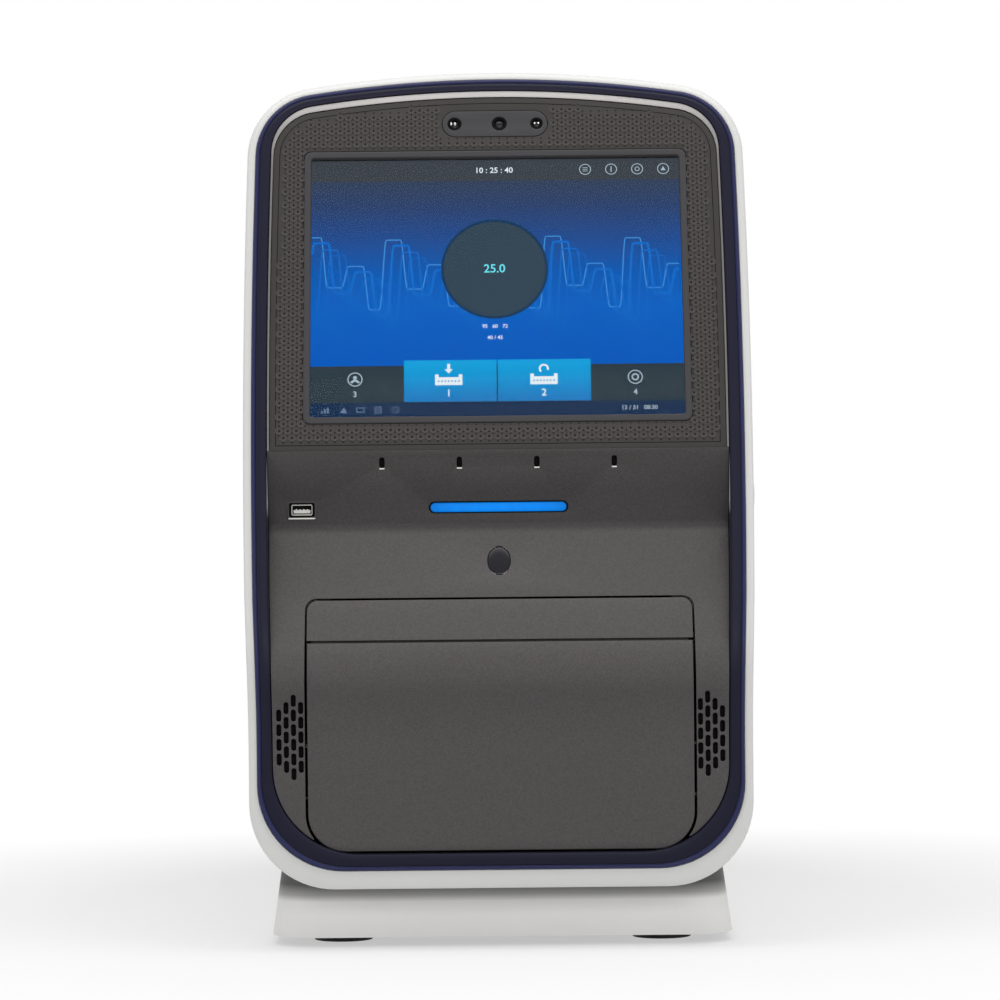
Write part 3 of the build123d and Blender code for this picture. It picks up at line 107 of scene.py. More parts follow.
def rounded_box(half_width, low, high, corner_low, corner_high, steps=8, middle=0.0):
    """Rectangle with its own corner radii below and above."""
    points = []
    for x, z, radius, start in (
        (half_width - corner_low, low + corner_low, corner_low, -90),
        (half_width - corner_high, high - corner_high, corner_high, 0),
        (-half_width + corner_high, high - corner_high, corner_high, 90),
        (-half_width + corner_low, low + corner_low, corner_low, 180),
    ):
        if radius < 1e-6:
            points.append((x + middle, z))
        else:
            points += arc((x + middle, z), radius, start, start + 90, steps)
    return points


def box_at(x, z, width, height, corner, steps=8):
    return rounded_box(width / 2, z - height / 2, z + height / 2, corner, corner, steps, x)


def ellipse(x, z, width, height, steps=48):
    return [
        (
            x + width / 2 * math.cos(2 * math.pi * step / steps),
            z + height / 2 * math.sin(2 * math.pi * step / steps),
        )
        for step in range(steps)
    ]


def circle_through(a, b, c):
    """Centre and radius of the circle through three points."""
    (ax, ay), (bx, by), (cx, cy) = a, b, c
    turn = 2 * (ax * (by - cy) + bx * (cy - ay) + cx * (ay - by))
    sa, sb, sc = ax * ax + ay * ay, bx * bx + by * by, cx * cx + cy * cy
    x = (sa * (by - cy) + sb * (cy - ay) + sc * (ay - by)) / turn
    y = (sa * (cx - bx) + sb * (ax - cx) + sc * (bx - ax)) / turn
    return (x, y), math.hypot(ax - x, ay - y)


def head_outline(side=0.0, top=0.0, bottom=0.0):
    """Front outline of the head, set in from the white edge, from the foot round."""
    low, high = head_bottom + bottom, head_top - top
    foot, bow, waist = foot_half - side, bow_half - side, waist_half - side
    edge = shoulder_half - side
    edge_z = high - crown_arc + math.sqrt(crown_arc**2 - edge**2)
    steps = (10, 16, 6, 30, 64, 22, 14)
    half = [((foot - heel_radius) * i / steps[0], low) for i in range(steps[0])]
    half += arc((foot - heel_radius, low + heel_radius), heel_radius, -90, 0, steps[1])[:-1]
    start = low + heel_radius
    half += [(foot, start + (knee_z - start) * i / steps[2]) for i in range(steps[2])]
    flare = ((bow - foot) ** 2 + (bow_z - knee_z) ** 2) / (2 * (bow - foot))
    for i in range(steps[3]):
        z = knee_z + (bow_z - knee_z) * i / steps[3]
        half.append((foot + flare - math.sqrt(flare**2 - (z - knee_z) ** 2), z))
    (cx, cz), side_arc = circle_through((bow, bow_z), (waist, waist_arc_z), (edge, edge_z))
    corner = crown_radius - side
    near, far = side_arc - corner, crown_arc - corner
    gap = (0 - cx, high - crown_arc - cz)
    reach = math.hypot(*gap)
    along = (near**2 - far**2 + reach**2) / (2 * reach)
    across = math.sqrt(near**2 - along**2)
    unit = (gap[0] / reach, gap[1] / reach)
    first = (cx + unit[0] * along - unit[1] * across, cz + unit[1] * along + unit[0] * across)
    second = (cx + unit[0] * along + unit[1] * across, cz + unit[1] * along - unit[0] * across)
    middle = first if first[1] > second[1] else second
    leave = math.degrees(math.atan2(middle[1] - cz, middle[0] - cx))
    enter = math.degrees(math.atan2(middle[1] - (high - crown_arc), middle[0]))
    last_z = middle[1] + corner * math.sin(math.radians(leave))
    for i in range(steps[4]):
        z = bow_z + (last_z - bow_z) * i / steps[4]
        half.append((cx + math.sqrt(side_arc**2 - (z - cz) ** 2), z))
    half += arc(middle, corner, leave, enter, steps[5])[:-1]
    half += arc((0, high - crown_arc), crown_arc, enter, 90, steps[6])
    return half + [(-x, z) for x, z in reversed(half[1:-1])]


def more(insets, further):
    """Insets of a band moved further in."""
    return tuple(size + further for size in insets)


def front_y(z, depth):
    """Place of a layer that lies this deep behind the leaning front."""
    upright, radius = rim_y + depth, bend_radius - depth
    bend = ridge_z + (upright - ridge_y - depth / math.cos(lean)) / math.tan(lean)
    start = bend - radius * math.tan(lean / 2)
    if z <= start:
        return upright
    if z < start + radius * math.sin(lean):
        return upright + radius - math.sqrt(radius**2 - (z - start) ** 2)
    return ridge_y + depth / math.cos(lean) + (z - ridge_z) * math.tan(lean)


def corner_points(before, corner, after, radius, steps):
    """Points of a rounded corner between two straight lines."""
    a, c, b = Vector(before), Vector(corner), Vector(after)
    to_a, to_b = (a - c).normalized(), (b - c).normalized()
    half = to_a.angle(to_b) / 2
    start, stop = c + to_a * (radius / math.tan(half)), c + to_b * (radius / math.tan(half))
    middle = c + (to_a + to_b).normalized() * (radius / math.sin(half))
    points = []
    for step in range(steps + 1):
        spoke = (start - middle).normalized().lerp((stop - middle).normalized(), step / steps)
        points.append(tuple(middle + spoke.normalized() * radius))
    return points


ridge, waist = (ridge_y, ridge_z), (waist_y, waist_z)
brow, roll = (front_edge, brow_z), (front_edge, roll_z)
toe_radius = (toe_tuck**2 + (roll_z - toe_z) ** 2) / (2 * toe_tuck)
face_line = [ridge]
face_line += corner_points(ridge, waist, brow, waist_radius, 8)
face_line += corner_points(waist, brow, roll, brow_radius, 14)
face_line += [
    (front_edge + toe_radius - math.sqrt(toe_radius**2 - (roll_z - z) ** 2), z)
    for z in [roll_z - 10 * mm * step for step in range(12)]
]
face_rows = [z for y, z in face_line[1:-1]]


def face_y(z, depth=0.0):
    """Place of the grey face, or of a layer behind it."""
    for (y_high, high), (y_low, low) in zip(face_line, face_line[1:]):
        if z >= low:
            return y_low + (y_high - y_low) * (z - low) / (high - low) + depth
    return face_line[-1][0] + depth


def on_face(u, v, depth):
    return Vector((u, face_y(v, depth), v))


def on_lean(u, v, depth):
    """Point on the leaning screen plane: across, up the slope and behind it."""
    return Vector(
        (
            u,
            ridge_y + v * math.sin(lean) + depth * math.cos(lean),
            ridge_z + v * math.cos(lean) - depth * math.sin(lean),
        )
    )


def leaning(layer):
    """Places a plate this deep behind the leaning plane."""
    return lambda u, v, depth: on_lean(u, v, depth + layer)


def facing(layer):
    """Places a plate this deep behind the grey face."""
    return lambda u, v, depth: on_face(u, v, depth + layer)


def on_front(u, v, depth):
    return Vector((u, front_y(v, depth), v))


def upright(y, side=1):
    """Point on an upright plane at y; side -1 looks to the rear."""
    return lambda u, v, depth: Vector((u, y + side * depth, v))


# Mesh pieces
def tone(red, green, blue):
    """Colour of a 0 to 255 sRGB triple, as shaders take it."""
    linear = []
    for value in (red, green, blue):
        share = value / 255
        linear.append(share / 12.92 if share < 0.04045 else ((share + 0.055) / 1.055) ** 2.4)
    return (*linear, 1.0)


def linked(name, data):
    """New object in the scene."""
    piece = bpy.data.objects.new(name, data)
    bpy.context.scene.collection.objects.link(piece)
    return piece


def mesh_from(piece):
    """Plain mesh of an object with its modifiers, or of its curve."""
    done = piece.evaluated_get(bpy.context.evaluated_depsgraph_get())
    return bpy.data.meshes.new_from_object(done)


sharp_from = math.radians(32)


def settle(name, mesh, material, body, stands_for=()):
    """Makes a mesh an object of the machine that rides on a body."""
    if not isinstance(material, (list, tuple)):
        material = [material]
    if not mesh.materials:
        for finish in material:
            mesh.materials.append(finish)
    mesh.shade_smooth()
    mesh.set_sharp_from_angle(angle=sharp_from)
    piece = linked(name, mesh)
    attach(piece, body)
    if stands_for:
        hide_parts(*stands_for)
    return piece


def mesh_of(bm, name, turn=True):
    if turn:
        bmesh.ops.recalc_face_normals(bm, faces=bm.faces)
    mesh = bpy.data.meshes.new(name)
    bm.to_mesh(mesh)
    bm.free()
    return mesh


def loft(bm, rings, closed=False):
    """Skins equal rings of points, in a loop or with a face on the first and the last."""
    rows = [[bm.verts.new(point) for point in ring] for ring in rings]
    pairs = list(zip(rows, rows[1:]))
    if closed:
        pairs.append((rows[-1], rows[0]))
    for lower, upper in pairs:
        for i in range(len(lower)):
            j = (i + 1) % len(lower)
            bm.faces.new((lower[i], lower[j], upper[j], upper[i]))
    if not closed:
        bm.faces.new(rows[0])
        bm.faces.new(rows[-1])


def rolled(radius, steps=4):
    """Inset and depth pairs of a quarter round, from the wall to the front."""
    pairs = []
    for step in range(steps + 1):
        angle = math.radians(90 * step / steps)
        pairs.append((radius * (1 - math.cos(angle)), radius * (1 - math.sin(angle))))
    return pairs


def band(bm, stations):
    """Loft round the head's outline; a station is its three insets and its place."""
    rings = []
    for (side, top, bottom), place in stations:
        outline = head_outline(side, top, bottom)
        if callable(place):
            rings.append([Vector((x, place(z), z)) for x, z in outline])
        else:
            rings.append([on_front(x, z, place) for x, z in outline])
    loft(bm, rings, closed=True)


def stepped(insets, steps):
    """Stations of a band: how far each is inset further, and its depth, in millimetres."""
    return [(more(insets, further * mm), depth * mm) for further, depth in steps]


def cut(bm, point, normal):
    """Keeps what lies on the far side of a plane."""
    geometry = bm.verts[:] + bm.edges[:] + bm.faces[:]
    result = bmesh.ops.bisect_plane(
        bm, geom=geometry, plane_co=point, plane_no=normal, clear_inner=True
    )
    edges = [part for part in result["geom_cut"] if isinstance(part, bmesh.types.BMEdge)]
    bmesh.ops.triangle_fill(bm, use_beauty=True, edges=edges)


def signed_area(loop):
    return sum(a[0] * b[1] - b[0] * a[1] for a, b in zip(loop, loop[1:] + loop[:1])) / 2


def grown(loop, distance):
    """Outline moved outwards by a distance, or inwards where it is negative."""
    hand = 1 if signed_area(loop) > 0 else -1
    moved = []
    for i, (x, z) in enumerate(loop):
        (ax, az), (bx, bz) = loop[i - 1], loop[(i + 1) % len(loop)]
        first = Vector((z - az, ax - x)).normalized()
        second = Vector((bz - z, x - bx)).normalized()
        push = first + second
        push = push / max(0.3, push.length_squared / 2)
        moved.append((x + hand * push.x * distance, z + hand * push.y * distance))
    return moved


def inside(point, loop):
    x, z = point
    hit = False
    for (ax, az), (bx, bz) in zip(loop, loop[1:] + loop[:1]):
        if (az > z) != (bz > z) and x < (bx - ax) * (z - az) / (bz - az) + ax:
            hit = not hit
    return hit


def triangles_in(loops, fine):
    """Points and triangles that fill the first outline and leave the others open."""
    points, edges = [], []
    for loop in loops:
        first = len(points)
        points += [Vector(point) for point in loop]
        edges += [(first + i, first + (i + 1) % len(loop)) for i in range(len(loop))]
    flat, _, triangles, *_ = delaunay_2d_cdt(points, edges, [], 0, fine)
    holes = [(hole, min(v for x, v in hole), max(v for x, v in hole)) for hole in loops[1:]]
    kept = []
    for triangle in triangles:
        middle = [sum(flat[i][axis] for i in triangle) / 3 for axis in (0, 1)]
        near = [hole for hole, low, high in holes if low < middle[1] < high]
        if inside(middle, loops[0]) and not any(inside(middle, hole) for hole in near):
            kept.append(triangle)
    return flat, kept


def panel(bm, outline, holes, place, wall, lip, rows=(), steps=3):
    """Plate cut from an outline, with rounded front edges and openings."""
    loops = [grown(outline, -lip), *(grown(hole, lip) for hole in holes)]
    flat, triangles = triangles_in(loops, 1e-7)
    sheet = bmesh.new()
    corners = [sheet.verts.new((point.x, 0, point.y)) for point in flat]
    for triangle in triangles:
        sheet.faces.new([corners[i] for i in triangle])
    bmesh.ops.delete(sheet, geom=[v for v in sheet.verts if not v.link_faces], context="VERTS")
    for row in rows:
        geometry = sheet.verts[:] + sheet.edges[:] + sheet.faces[:]
        plane = {"plane_co": (0, 0, row), "plane_no": above}
        bmesh.ops.bisect_plane(sheet, geom=geometry, dist=1e-6, **plane)
    rim = {}
    for edge in sheet.edges:
        if len(edge.link_faces) == 1:
            face = edge.link_faces[0]
            a, b = edge.verts
            away = Vector((b.co.z - a.co.z, 0, a.co.x - b.co.x)).normalized()
            if away.dot(face.calc_center_median() - a.co) > 0:
                away.negate()
            for corner in (a, b):
                rim.setdefault(corner, []).append(away)
    copies = {}

    def copy_of(corner, level):
        key = (corner, level)
        if key not in copies:
            if level == "back":
                depth, out = wall, lip
            else:
                angle = math.radians(90 * level / steps)
                depth, out = lip * (1 - math.cos(angle)), lip * math.sin(angle)
            push = Vector()
            if corner in rim:
                push = rim[corner][0] + rim[corner][-1]
                push = push / max(0.3, push.length_squared / 2)
            x, z = corner.co.x + push.x * out, corner.co.z + push.z * out
            copies[key] = bm.verts.new(place(x, z, depth))
        return copies[key]

    for face in sheet.faces:
        bm.faces.new([copy_of(corner, 0) for corner in face.verts])
        bm.faces.new([copy_of(corner, "back") for corner in reversed(face.verts)])
    levels = list(range(steps + 1)) + ["back"]
    for edge in sheet.edges:
        if len(edge.link_faces) == 1:
            a, b = edge.verts
            for near, far in zip(levels, levels[1:]):
                quad = ((a, near), (b, near), (b, far), (a, far))
                bm.faces.new([copy_of(*corner) for corner in quad])
    sheet.free()


def turned(bm, profile, centre, across, up, out, steps=40):
    """Turned shape: profile points are radius and height along out."""
    rings = []
    for radius, height in profile:
        ring = []
        for step in range(steps):
            angle = 2 * math.pi * step / steps
            spoke = across * math.cos(angle) + up * math.sin(angle)
            ring.append(centre + spoke * max(radius, 1e-5) + out * height)
        rings.append(ring)
    loft(bm, rings)


def in_metres(pairs):
    """Pairs given in millimetres."""
    return [(first * mm, second * mm) for first, second in pairs]


def stand_in(node, bm, material, body="cabinet"):
    """Settles a new piece in the place of a CAD piece."""
    name = node + "_finished"
    return settle(name, mesh_of(bm, name), material, body, (node,))


def extra(name, bm, material):
    """Settles a small piece of the cabinet that the CAD model doesn't have."""
    return settle(name, mesh_of(bm, name), material, "cabinet")


def finished(node, material, width):
    """Merged copy of a CAD piece with its edges broken, standing for it."""
    bm = bmesh.new()
    bm.from_mesh(frame["nodes"][node].data)
    bmesh.ops.remove_doubles(bm, verts=bm.verts, dist=1e-6)
    bmesh.ops.dissolve_limit(bm, angle_limit=math.radians(0.6), verts=bm.verts, edges=bm.edges)
    if width:
        joined = [edge for edge in bm.edges if len(edge.link_faces) == 2]
        edges = [edge for edge in joined if edge.calc_face_angle(0) > math.radians(40)]
        rounding = {"segments": 2, "profile": 0.7, "affect": "EDGES", "clamp_overlap": True}
        bmesh.ops.bevel(bm, geom=edges, offset=width, **rounding)
    name = node + "_finished"
    mesh = mesh_of(bm, name)
    mesh.materials.clear()
    settle(name, mesh, material, body_of(frame["nodes"][node])[0], (node,))


# Nodes of the finishes
def put(tree, socket, value):
    """Gives a socket its source, or its plain value."""
    if isinstance(value, bpy.types.NodeSocket):
        tree.links.new(value, socket)
    else:
        socket.default_value = value


def feed(tree, node, **inputs):
    """Gives a node its inputs by name; an underscore stands for a space."""
    for label, value in inputs.items():
        put(tree, node.inputs[label.replace("_", " ")], value)
    return node


def new_node(tree, kind, **inputs):
    return feed(tree, tree.nodes.new("ShaderNode" + kind), **inputs)


def maths(tree, operation, *values):
    node = new_node(tree, "Math")
    node.operation = operation
    for place, value in enumerate(values):
        put(tree, node.inputs[place], value)
    return node.outputs[0]


def spread(tree, value, low, high, start=0.0, stop=1.0):
    """Spreads what lies from start to stop over low to high."""
    sizes = {"From_Min": start, "From_Max": stop, "To_Min": low, "To_Max": high}
    return new_node(tree, "MapRange", Value=value, **sizes).outputs[0]


def noise(tree, vector, scale, detail=2.0, rough=0.5):
    sizes = {"Scale": scale, "Detail": detail, "Roughness": rough}
    return new_node(tree, "TexNoise", Vector=vector, **sizes).outputs[0]


def shaded(tree, colour, factor):
    """Colour times a grey factor."""
    node = new_node(tree, "VectorMath")
    node.operation = "SCALE"
    put(tree, node.inputs[0], colour)
    return feed(tree, node, Scale=factor).outputs[0]


def object_place(tree):
    return new_node(tree, "TexCoord").outputs["Object"]


def axes_of(tree, vector):
    return new_node(tree, "SeparateXYZ", Vector=vector).outputs


def height_ramp(tree, low, high, stops):
    """Colour that changes with height, between two heights; a number is a grey."""
    ramp = new_node(tree, "ValToRGB")
    marks = ramp.color_ramp.elements
    shades = []
    for position, shade in stops:
        shades.append((position, (shade, shade, shade, 1) if isinstance(shade, float) else shade))
    marks[0].position, marks[0].color = shades[0]
    marks[1].position, marks[1].color = shades[-1]
    for position, shade in shades[1:-1]:
        marks.new(position).color = shade
    height = axes_of(tree, object_place(tree))["Z"]
    put(tree, ramp.inputs[0], spread(tree, height, 0.0, 1.0, low, high))
    return ramp.outputs[0]


def new_socket(tree, label, side, kind, value=None):
    made = tree.interface.new_socket(name=label, in_out=side, socket_type="NodeSocket" + kind)
    if value is not None:
        made.default_value = value


# Shader groups that the finishes share: each takes a colour and gives one
def group(name, outputs, **inputs):
    """Empty shader node group; a number or a vector gives an input its kind."""
    tree = bpy.data.node_groups.new(name, "ShaderNodeTree")
    rows = [("Colour", "INPUT", "Color", (0.5, 0.5, 0.5, 1))]
    for label, value in inputs.items():
        kind = "Vector" if isinstance(value, tuple) else "Float"
        rows.append((label.replace("_", " "), "INPUT", kind, value))
    rows += [("Colour", "OUTPUT", "Color", None)]
    rows += [(label, "OUTPUT", "Float", None) for label in outputs]
    for row in rows:
        new_socket(tree, *row)
    source, sink = tree.nodes.new("NodeGroupInput"), tree.nodes.new("NodeGroupOutput")
    return tree, source.outputs, sink


def moulded_group():
    """Fine moulded grain with a slow drift of tone and gloss."""
    sizes = {"Roughness": 0.4, "Grain": 2500.0, "Drift": 0.03, "Gloss_Drift": 0.08}
    tree, given, sink = group("moulded_grain", ("Roughness", "Height"), **sizes)
    place = object_place(tree)
    slow = maths(tree, "SUBTRACT", noise(tree, place, 14.0, 3.0), 0.5)
    drift = maths(tree, "MULTIPLY", given["Drift"], 2.0)
    colour = shaded(tree, given["Colour"], maths(tree, "MULTIPLY_ADD", slow, drift, 1.0))
    smear = maths(tree, "SUBTRACT", noise(tree, place, 45.0, 4.0, 0.6), 0.5)
    gloss = maths(tree, "MULTIPLY_ADD", smear, given["Gloss Drift"], given["Roughness"])
    feed(tree, sink, Colour=colour, Roughness=gloss, Height=noise(tree, place, given["Grain"]))
    return tree


def flake_group():
    """Metallic flakes of a sprayed paint: fine bright and dark specks."""
    tree, given, sink = group("paint_flake", ("Mask", "Height"), Flake_Size=1600.0, Flake=0.25)
    cells = new_node(tree, "TexVoronoi", Vector=object_place(tree), Scale=given["Flake Size"])
    specks = new_node(tree, "SeparateColor", Color=cells.outputs["Color"]).outputs
    speck = maths(tree, "SUBTRACT", specks[0], 0.5)
    factor = maths(tree, "MULTIPLY_ADD", speck, given["Flake"], 1.0)
    colour = shaded(tree, given["Colour"], factor)
    feed(tree, sink, Colour=colour, Mask=specks[1], Height=cells.outputs["Distance"])
    return tree


def brushed_group():
    """Fine scratches along one axis, for sheet metal and machined faces."""
    sizes = {"Roughness": 0.3, "Along": (0.02, 1.0, 1.0), "Depth": 0.12}
    tree, given, sink = group("brushed_metal", ("Roughness", "Height"), **sizes)
    place = object_place(tree)
    stretched = new_node(tree, "VectorMath")
    stretched.operation = "MULTIPLY"
    put(tree, stretched.inputs[0], place)
    put(tree, stretched.inputs[1], given["Along"])
    lines = noise(tree, stretched.outputs[0], 900.0, 3.0, 0.7)
    centred = maths(tree, "SUBTRACT", lines, 0.5)
    factor = maths(tree, "MULTIPLY_ADD", centred, given["Depth"], 1.0)
    clouds = maths(tree, "SUBTRACT", noise(tree, place, 25.0, 3.0), 0.5)
    mixed = maths(tree, "ADD", centred, clouds)
    gloss = maths(tree, "MULTIPLY_ADD", mixed, 0.14, given["Roughness"])
    feed(tree, sink, Colour=shaded(tree, given["Colour"], factor), Roughness=gloss, Height=lines)
    return tree


def dust_group():
    """Thin dust on surfaces that look up, and in broad patches."""
    tree, given, sink = group("settled_dust", ("Roughness",), Roughness=0.4, Amount=0.05)
    normal = new_node(tree, "NewGeometry").outputs["Normal"]
    looking_up = spread(tree, axes_of(tree, normal)["Z"], 0.0, 1.0, 0.2, 1.0)
    clouds = noise(tree, object_place(tree), 60.0, 6.0, 0.7)
    covered = maths(tree, "MULTIPLY", looking_up, spread(tree, clouds, 0.2, 1.0, 0.35, 0.7))
    layer = maths(tree, "MULTIPLY", covered, given["Amount"])
    mix = new_node(tree, "Mix")
    mix.data_type = "RGBA"
    feed(tree, mix, Factor=layer, A=given["Colour"], B=tone(196, 194, 188))
    dulled = maths(tree, "MULTIPLY_ADD", layer, 0.6, given["Roughness"])
    feed(tree, sink, Colour=mix.outputs["Result"], Roughness=dulled)
    return tree


moulded, flaked, brushed, dusted = moulded_group(), flake_group(), brushed_group(), dust_group()


def placed(tree, shared, **inputs):
    """Puts a shared group into a material with its own values."""
    node = tree.nodes.new("ShaderNodeGroup")
    node.node_tree = shared
    return feed(tree, node, **inputs).outputs


def bumped(tree, shader, height, strength):
    """Relief of two hundredths of a millimetre."""
    bump = new_node(tree, "Bump", Strength=strength, Distance=0.02 * mm, Height=height)
    feed(tree, shader, Normal=bump.outputs["Normal"])


def blank(name):
    material = bpy.data.materials.new(name)
    material.use_nodes = True
    tree = material.node_tree
    return material, tree, tree.nodes["Principled BSDF"]


def surfaced(tree, shader, shared, **inputs):
    """Colour and roughness from a shared group, and further inputs."""
    feed(tree, shader, Base_Color=shared["Colour"], Roughness=shared["Roughness"], **inputs)


def plastic(
    name,
    colour,
    roughness,
    grain=2500.0,
    depth=0.15,
    drift=0.03,
    dust=0.05,
    coat=0.0,
    flake=None,
    metal=0.0,
    shine=0.5,
    shade=None,
):
    """Moulded or painted plastic, from the shared grain, flake and dust; a shade paints light and
    shade into its colour by height.
    """
    material, tree, shader = blank(name)
    grained = placed(tree, moulded, Colour=colour, Roughness=roughness, Grain=grain, Drift=drift)
    last = grained["Colour"]
    if flake:
        last = placed(tree, flaked, Colour=last, Flake_Size=flake[0], Flake=flake[1])["Colour"]
    if shade:
        last = shaded(tree, last, height_ramp(tree, *shade))
    film = placed(tree, dusted, Colour=last, Roughness=grained["Roughness"], Amount=dust)
    surfaced(tree, shader, film, Metallic=metal, Coat_Weight=coat, Coat_Roughness=0.12)
    feed(tree, shader, Specular_IOR_Level=shine)
    bumped(tree, shader, grained["Height"], depth)
    return material


def metal(name, colour, roughness, along=(0.02, 1.0, 1.0), depth=0.12, bump=0.1, metallic=1.0):
    material, tree, shader = blank(name)
    lines = placed(tree, brushed, Colour=colour, Roughness=roughness, Along=along, Depth=depth)
    surfaced(tree, shader, lines, Metallic=metallic)
    bumped(tree, shader, lines["Height"], bump)
    return material


def lit(name, colour=None, blend=None):
    """Part of the screen picture, with its own light, in one colour or a blend."""
    material, tree, shader = blank(name)
    if blend:
        colour, drift = height_ramp(tree, *blend), 0.03
    else:
        drift = 0.04
    grained = placed(tree, moulded, Colour=colour, Grain=900.0, Drift=drift)
    feed(tree, shader, Base_Color=(0.002, 0.002, 0.002, 1), Roughness=0.5, Specular_IOR_Level=0.0)
    feed(tree, shader, Emission_Color=grained["Colour"], Emission_Strength=1.0)
    return material


# Finishes; a shade is painted light and shade, a ramp of brightness between two heights
# Painted shadow on the plinth: darker towards its top edge, where the head overhangs it
plinth_shadow_stops = [(0.0, 1.0), (0.45, 0.95), (0.66, 0.45), (1.0, 0.1)]
# Painted light and shade on the graphite face, by height: lightest on the upward slope, darker on
# the upright front under the brow, darkest in the recess under the ridge
face_shade_stops = [(0.0, 0.98), (0.3, 0.94), (0.42, 0.82), (0.48, 0.86), (0.53, 1.0)]
face_shade_stops += [(0.8, 1.0), (0.815, 0.62), (0.9, 0.56), (1.0, 0.72)]
# Painted highlight on the rim round the surround: full along the top, darker down the sides
rim_highlight_stops = [(0.0, 0.32), (0.45, 0.36), (0.75, 0.62), (1.0, 1.0)]
# Painted glint on the trim ring's recess wall: a bright band at the waist, near black above and
# below
wall_glint_stops = [(0.0, 0.03), (0.14, 0.05), (0.3, 0.9), (0.72, 0.7), (0.84, 0.06), (1.0, 0.03)]
plinth_painted_shadow = (20 * mm, 40 * mm, plinth_shadow_stops)
face_painted_shade = (50 * mm, 322 * mm, face_shade_stops)
rim_painted_highlight = (480 * mm, 560 * mm, rim_highlight_stops)
wall_painted_glint = (270 * mm, 330 * mm, wall_glint_stops)
white_paint = plastic("white_paint", tone(217, 217, 215), 0.42, 1800.0, 0.12, 0.015, 0.0, 0.15)
# Plinth plastic with the painted shadow under the head
plinth_look_and_shadow = {"shine": 0.3, "shade": plinth_painted_shadow}
plinth_plastic = plastic(
    "plinth_plastic", tone(240, 239, 237), 0.5, 1400.0, 0.2, 0.02, 0.0, **plinth_look_and_shadow
)
ring_plastic = plastic("ring_plastic", tone(27, 27, 45), 0.36, 2600.0, 0.1, 0.05, 0.0, shine=0.12)
# Lighter copy of the ring plastic on the ring's outer bead: painted highlight
stripe_highlight_plastic = plastic(
    "stripe_highlight_plastic", tone(44, 47, 86), 0.3, 2600.0, 0.08, 0.04, 0.0, shine=0.15
)
# Graphite paint of the face and the drawer front, with the painted light and shade by height
graphite = plastic(
    "graphite_paint",
    tone(85, 82, 82),
    0.46,
    2200.0,
    0.1,
    dust=0.0,
    flake=(1500.0, 0.28),
    metal=0.1,
    shine=0.12,
    shade=face_painted_shade,
)
fine_grain = {"grain": 2600.0, "depth": 0.12, "drift": 0.04, "dust": 0.0}
surround_plastic = plastic("surround_plastic", tone(64, 62, 60), 0.5, shine=0.12, **fine_grain)
relief_plastic = plastic("relief_plastic", tone(72, 69, 67), 0.46, shine=0.15, **fine_grain)
relief_dark = plastic("relief_dark", tone(30, 29, 28), 0.6, shine=0.1, **fine_grain)
frame_plastic = plastic(
    "frame_plastic", tone(66, 65, 67), 0.42, 2400.0, 0.1, 0.03, 0.0, shine=0.15
)
smooth = {"grain": 2400.0, "depth": 0.05, "drift": 0.02, "dust": 0.0}
# Recess wall: a painted glint, bright only in a band at the waist
recess_wall_glint = plastic(
    "recess_wall_glint", tone(200, 200, 206), 0.4, shine=0.1, shade=wall_painted_glint, **smooth
)
# Light grey of the rim, with its painted highlight along the top
rim_grey = plastic("rim_grey", tone(206, 203, 200), 0.3, shine=0.3, shade=rim_painted_highlight, **smooth)
dark_plastic = plastic("dark_plastic", tone(24, 24, 26), 0.4, 2200.0, 0.15, 0.05, 0.03, shine=0.25)
matt_black = plastic("matt_black", tone(10, 10, 11), 0.7, 1800.0, 0.2, 0.05, 0.0, shine=0.1)
eye_black = plastic("eye_black", tone(16, 16, 24), 0.2, 900.0, 0.02, 0.03, 0.0, shine=0.25)
rubber = plastic("rubber", tone(38, 38, 40), 0.75, 900.0, 0.4, 0.06, 0.05)
rocker_black = plastic("rocker_black", tone(20, 20, 22), 0.25, 1800.0, 0.05, 0.03, 0.03, 0.3)
panel_paint = plastic("panel_paint", tone(150, 151, 153), 0.48, 1200.0, 0.25, 0.02, 0.02)
deck_plastic = plastic("deck_plastic", tone(205, 206, 206), 0.45, 1500.0, 0.15, 0.02, 0.02)
board_green = plastic("board_green", tone(24, 84, 52), 0.4, 700.0, 0.2, 0.1, 0.03, 0.2)
ceramic_white = plastic("ceramic_white", tone(226, 222, 212), 0.6, 1100.0, 0.2, 0.03, 0.0)
module_black = plastic("module_black", tone(46, 47, 50), 0.5, 1500.0, 0.2, 0.05, 0.05)
tongue_white = plastic("tongue_white", tone(228, 227, 222), 0.4, 1500.0, 0.1, 0.02, 0.0)
bright_metal = metal("bright_metal", tone(214, 212, 208), 0.26, (0.03, 1, 1), 0.06, 0.05)
sheet_steel = metal("sheet_steel", tone(176, 177, 178), 0.34, (1, 0.03, 1), 0.1)
bare_aluminium = metal("bare_aluminium", tone(196, 197, 199), 0.32, (0.03, 1, 1), 0.1)
anodised = metal("anodised_black", tone(34, 34, 37), 0.42, (1, 1, 0.05), 0.2, 0.1, 0.6)
port_metal = metal("port_metal", tone(190, 188, 184), 0.3, (1, 0.05, 1), 0.1)


def clear_glass(name, tint, roughness, bend, smudge):
    material, tree, shader = blank(name)
    drifts = {"Drift": 0.01, "Gloss_Drift": smudge}
    smear = placed(tree, moulded, Colour=tint, Roughness=roughness, Grain=600.0, **drifts)
    surfaced(tree, shader, smear, Transmission_Weight=1.0, IOR=bend)
    return material


screen_glass = clear_glass("screen_glass", (0.98, 0.985, 0.99, 1), 0.0, 1.1, 0.0)
lens_glass = clear_glass("lens_glass", (0.9, 0.93, 0.97, 1), 0.03, 1.5, 0.02)


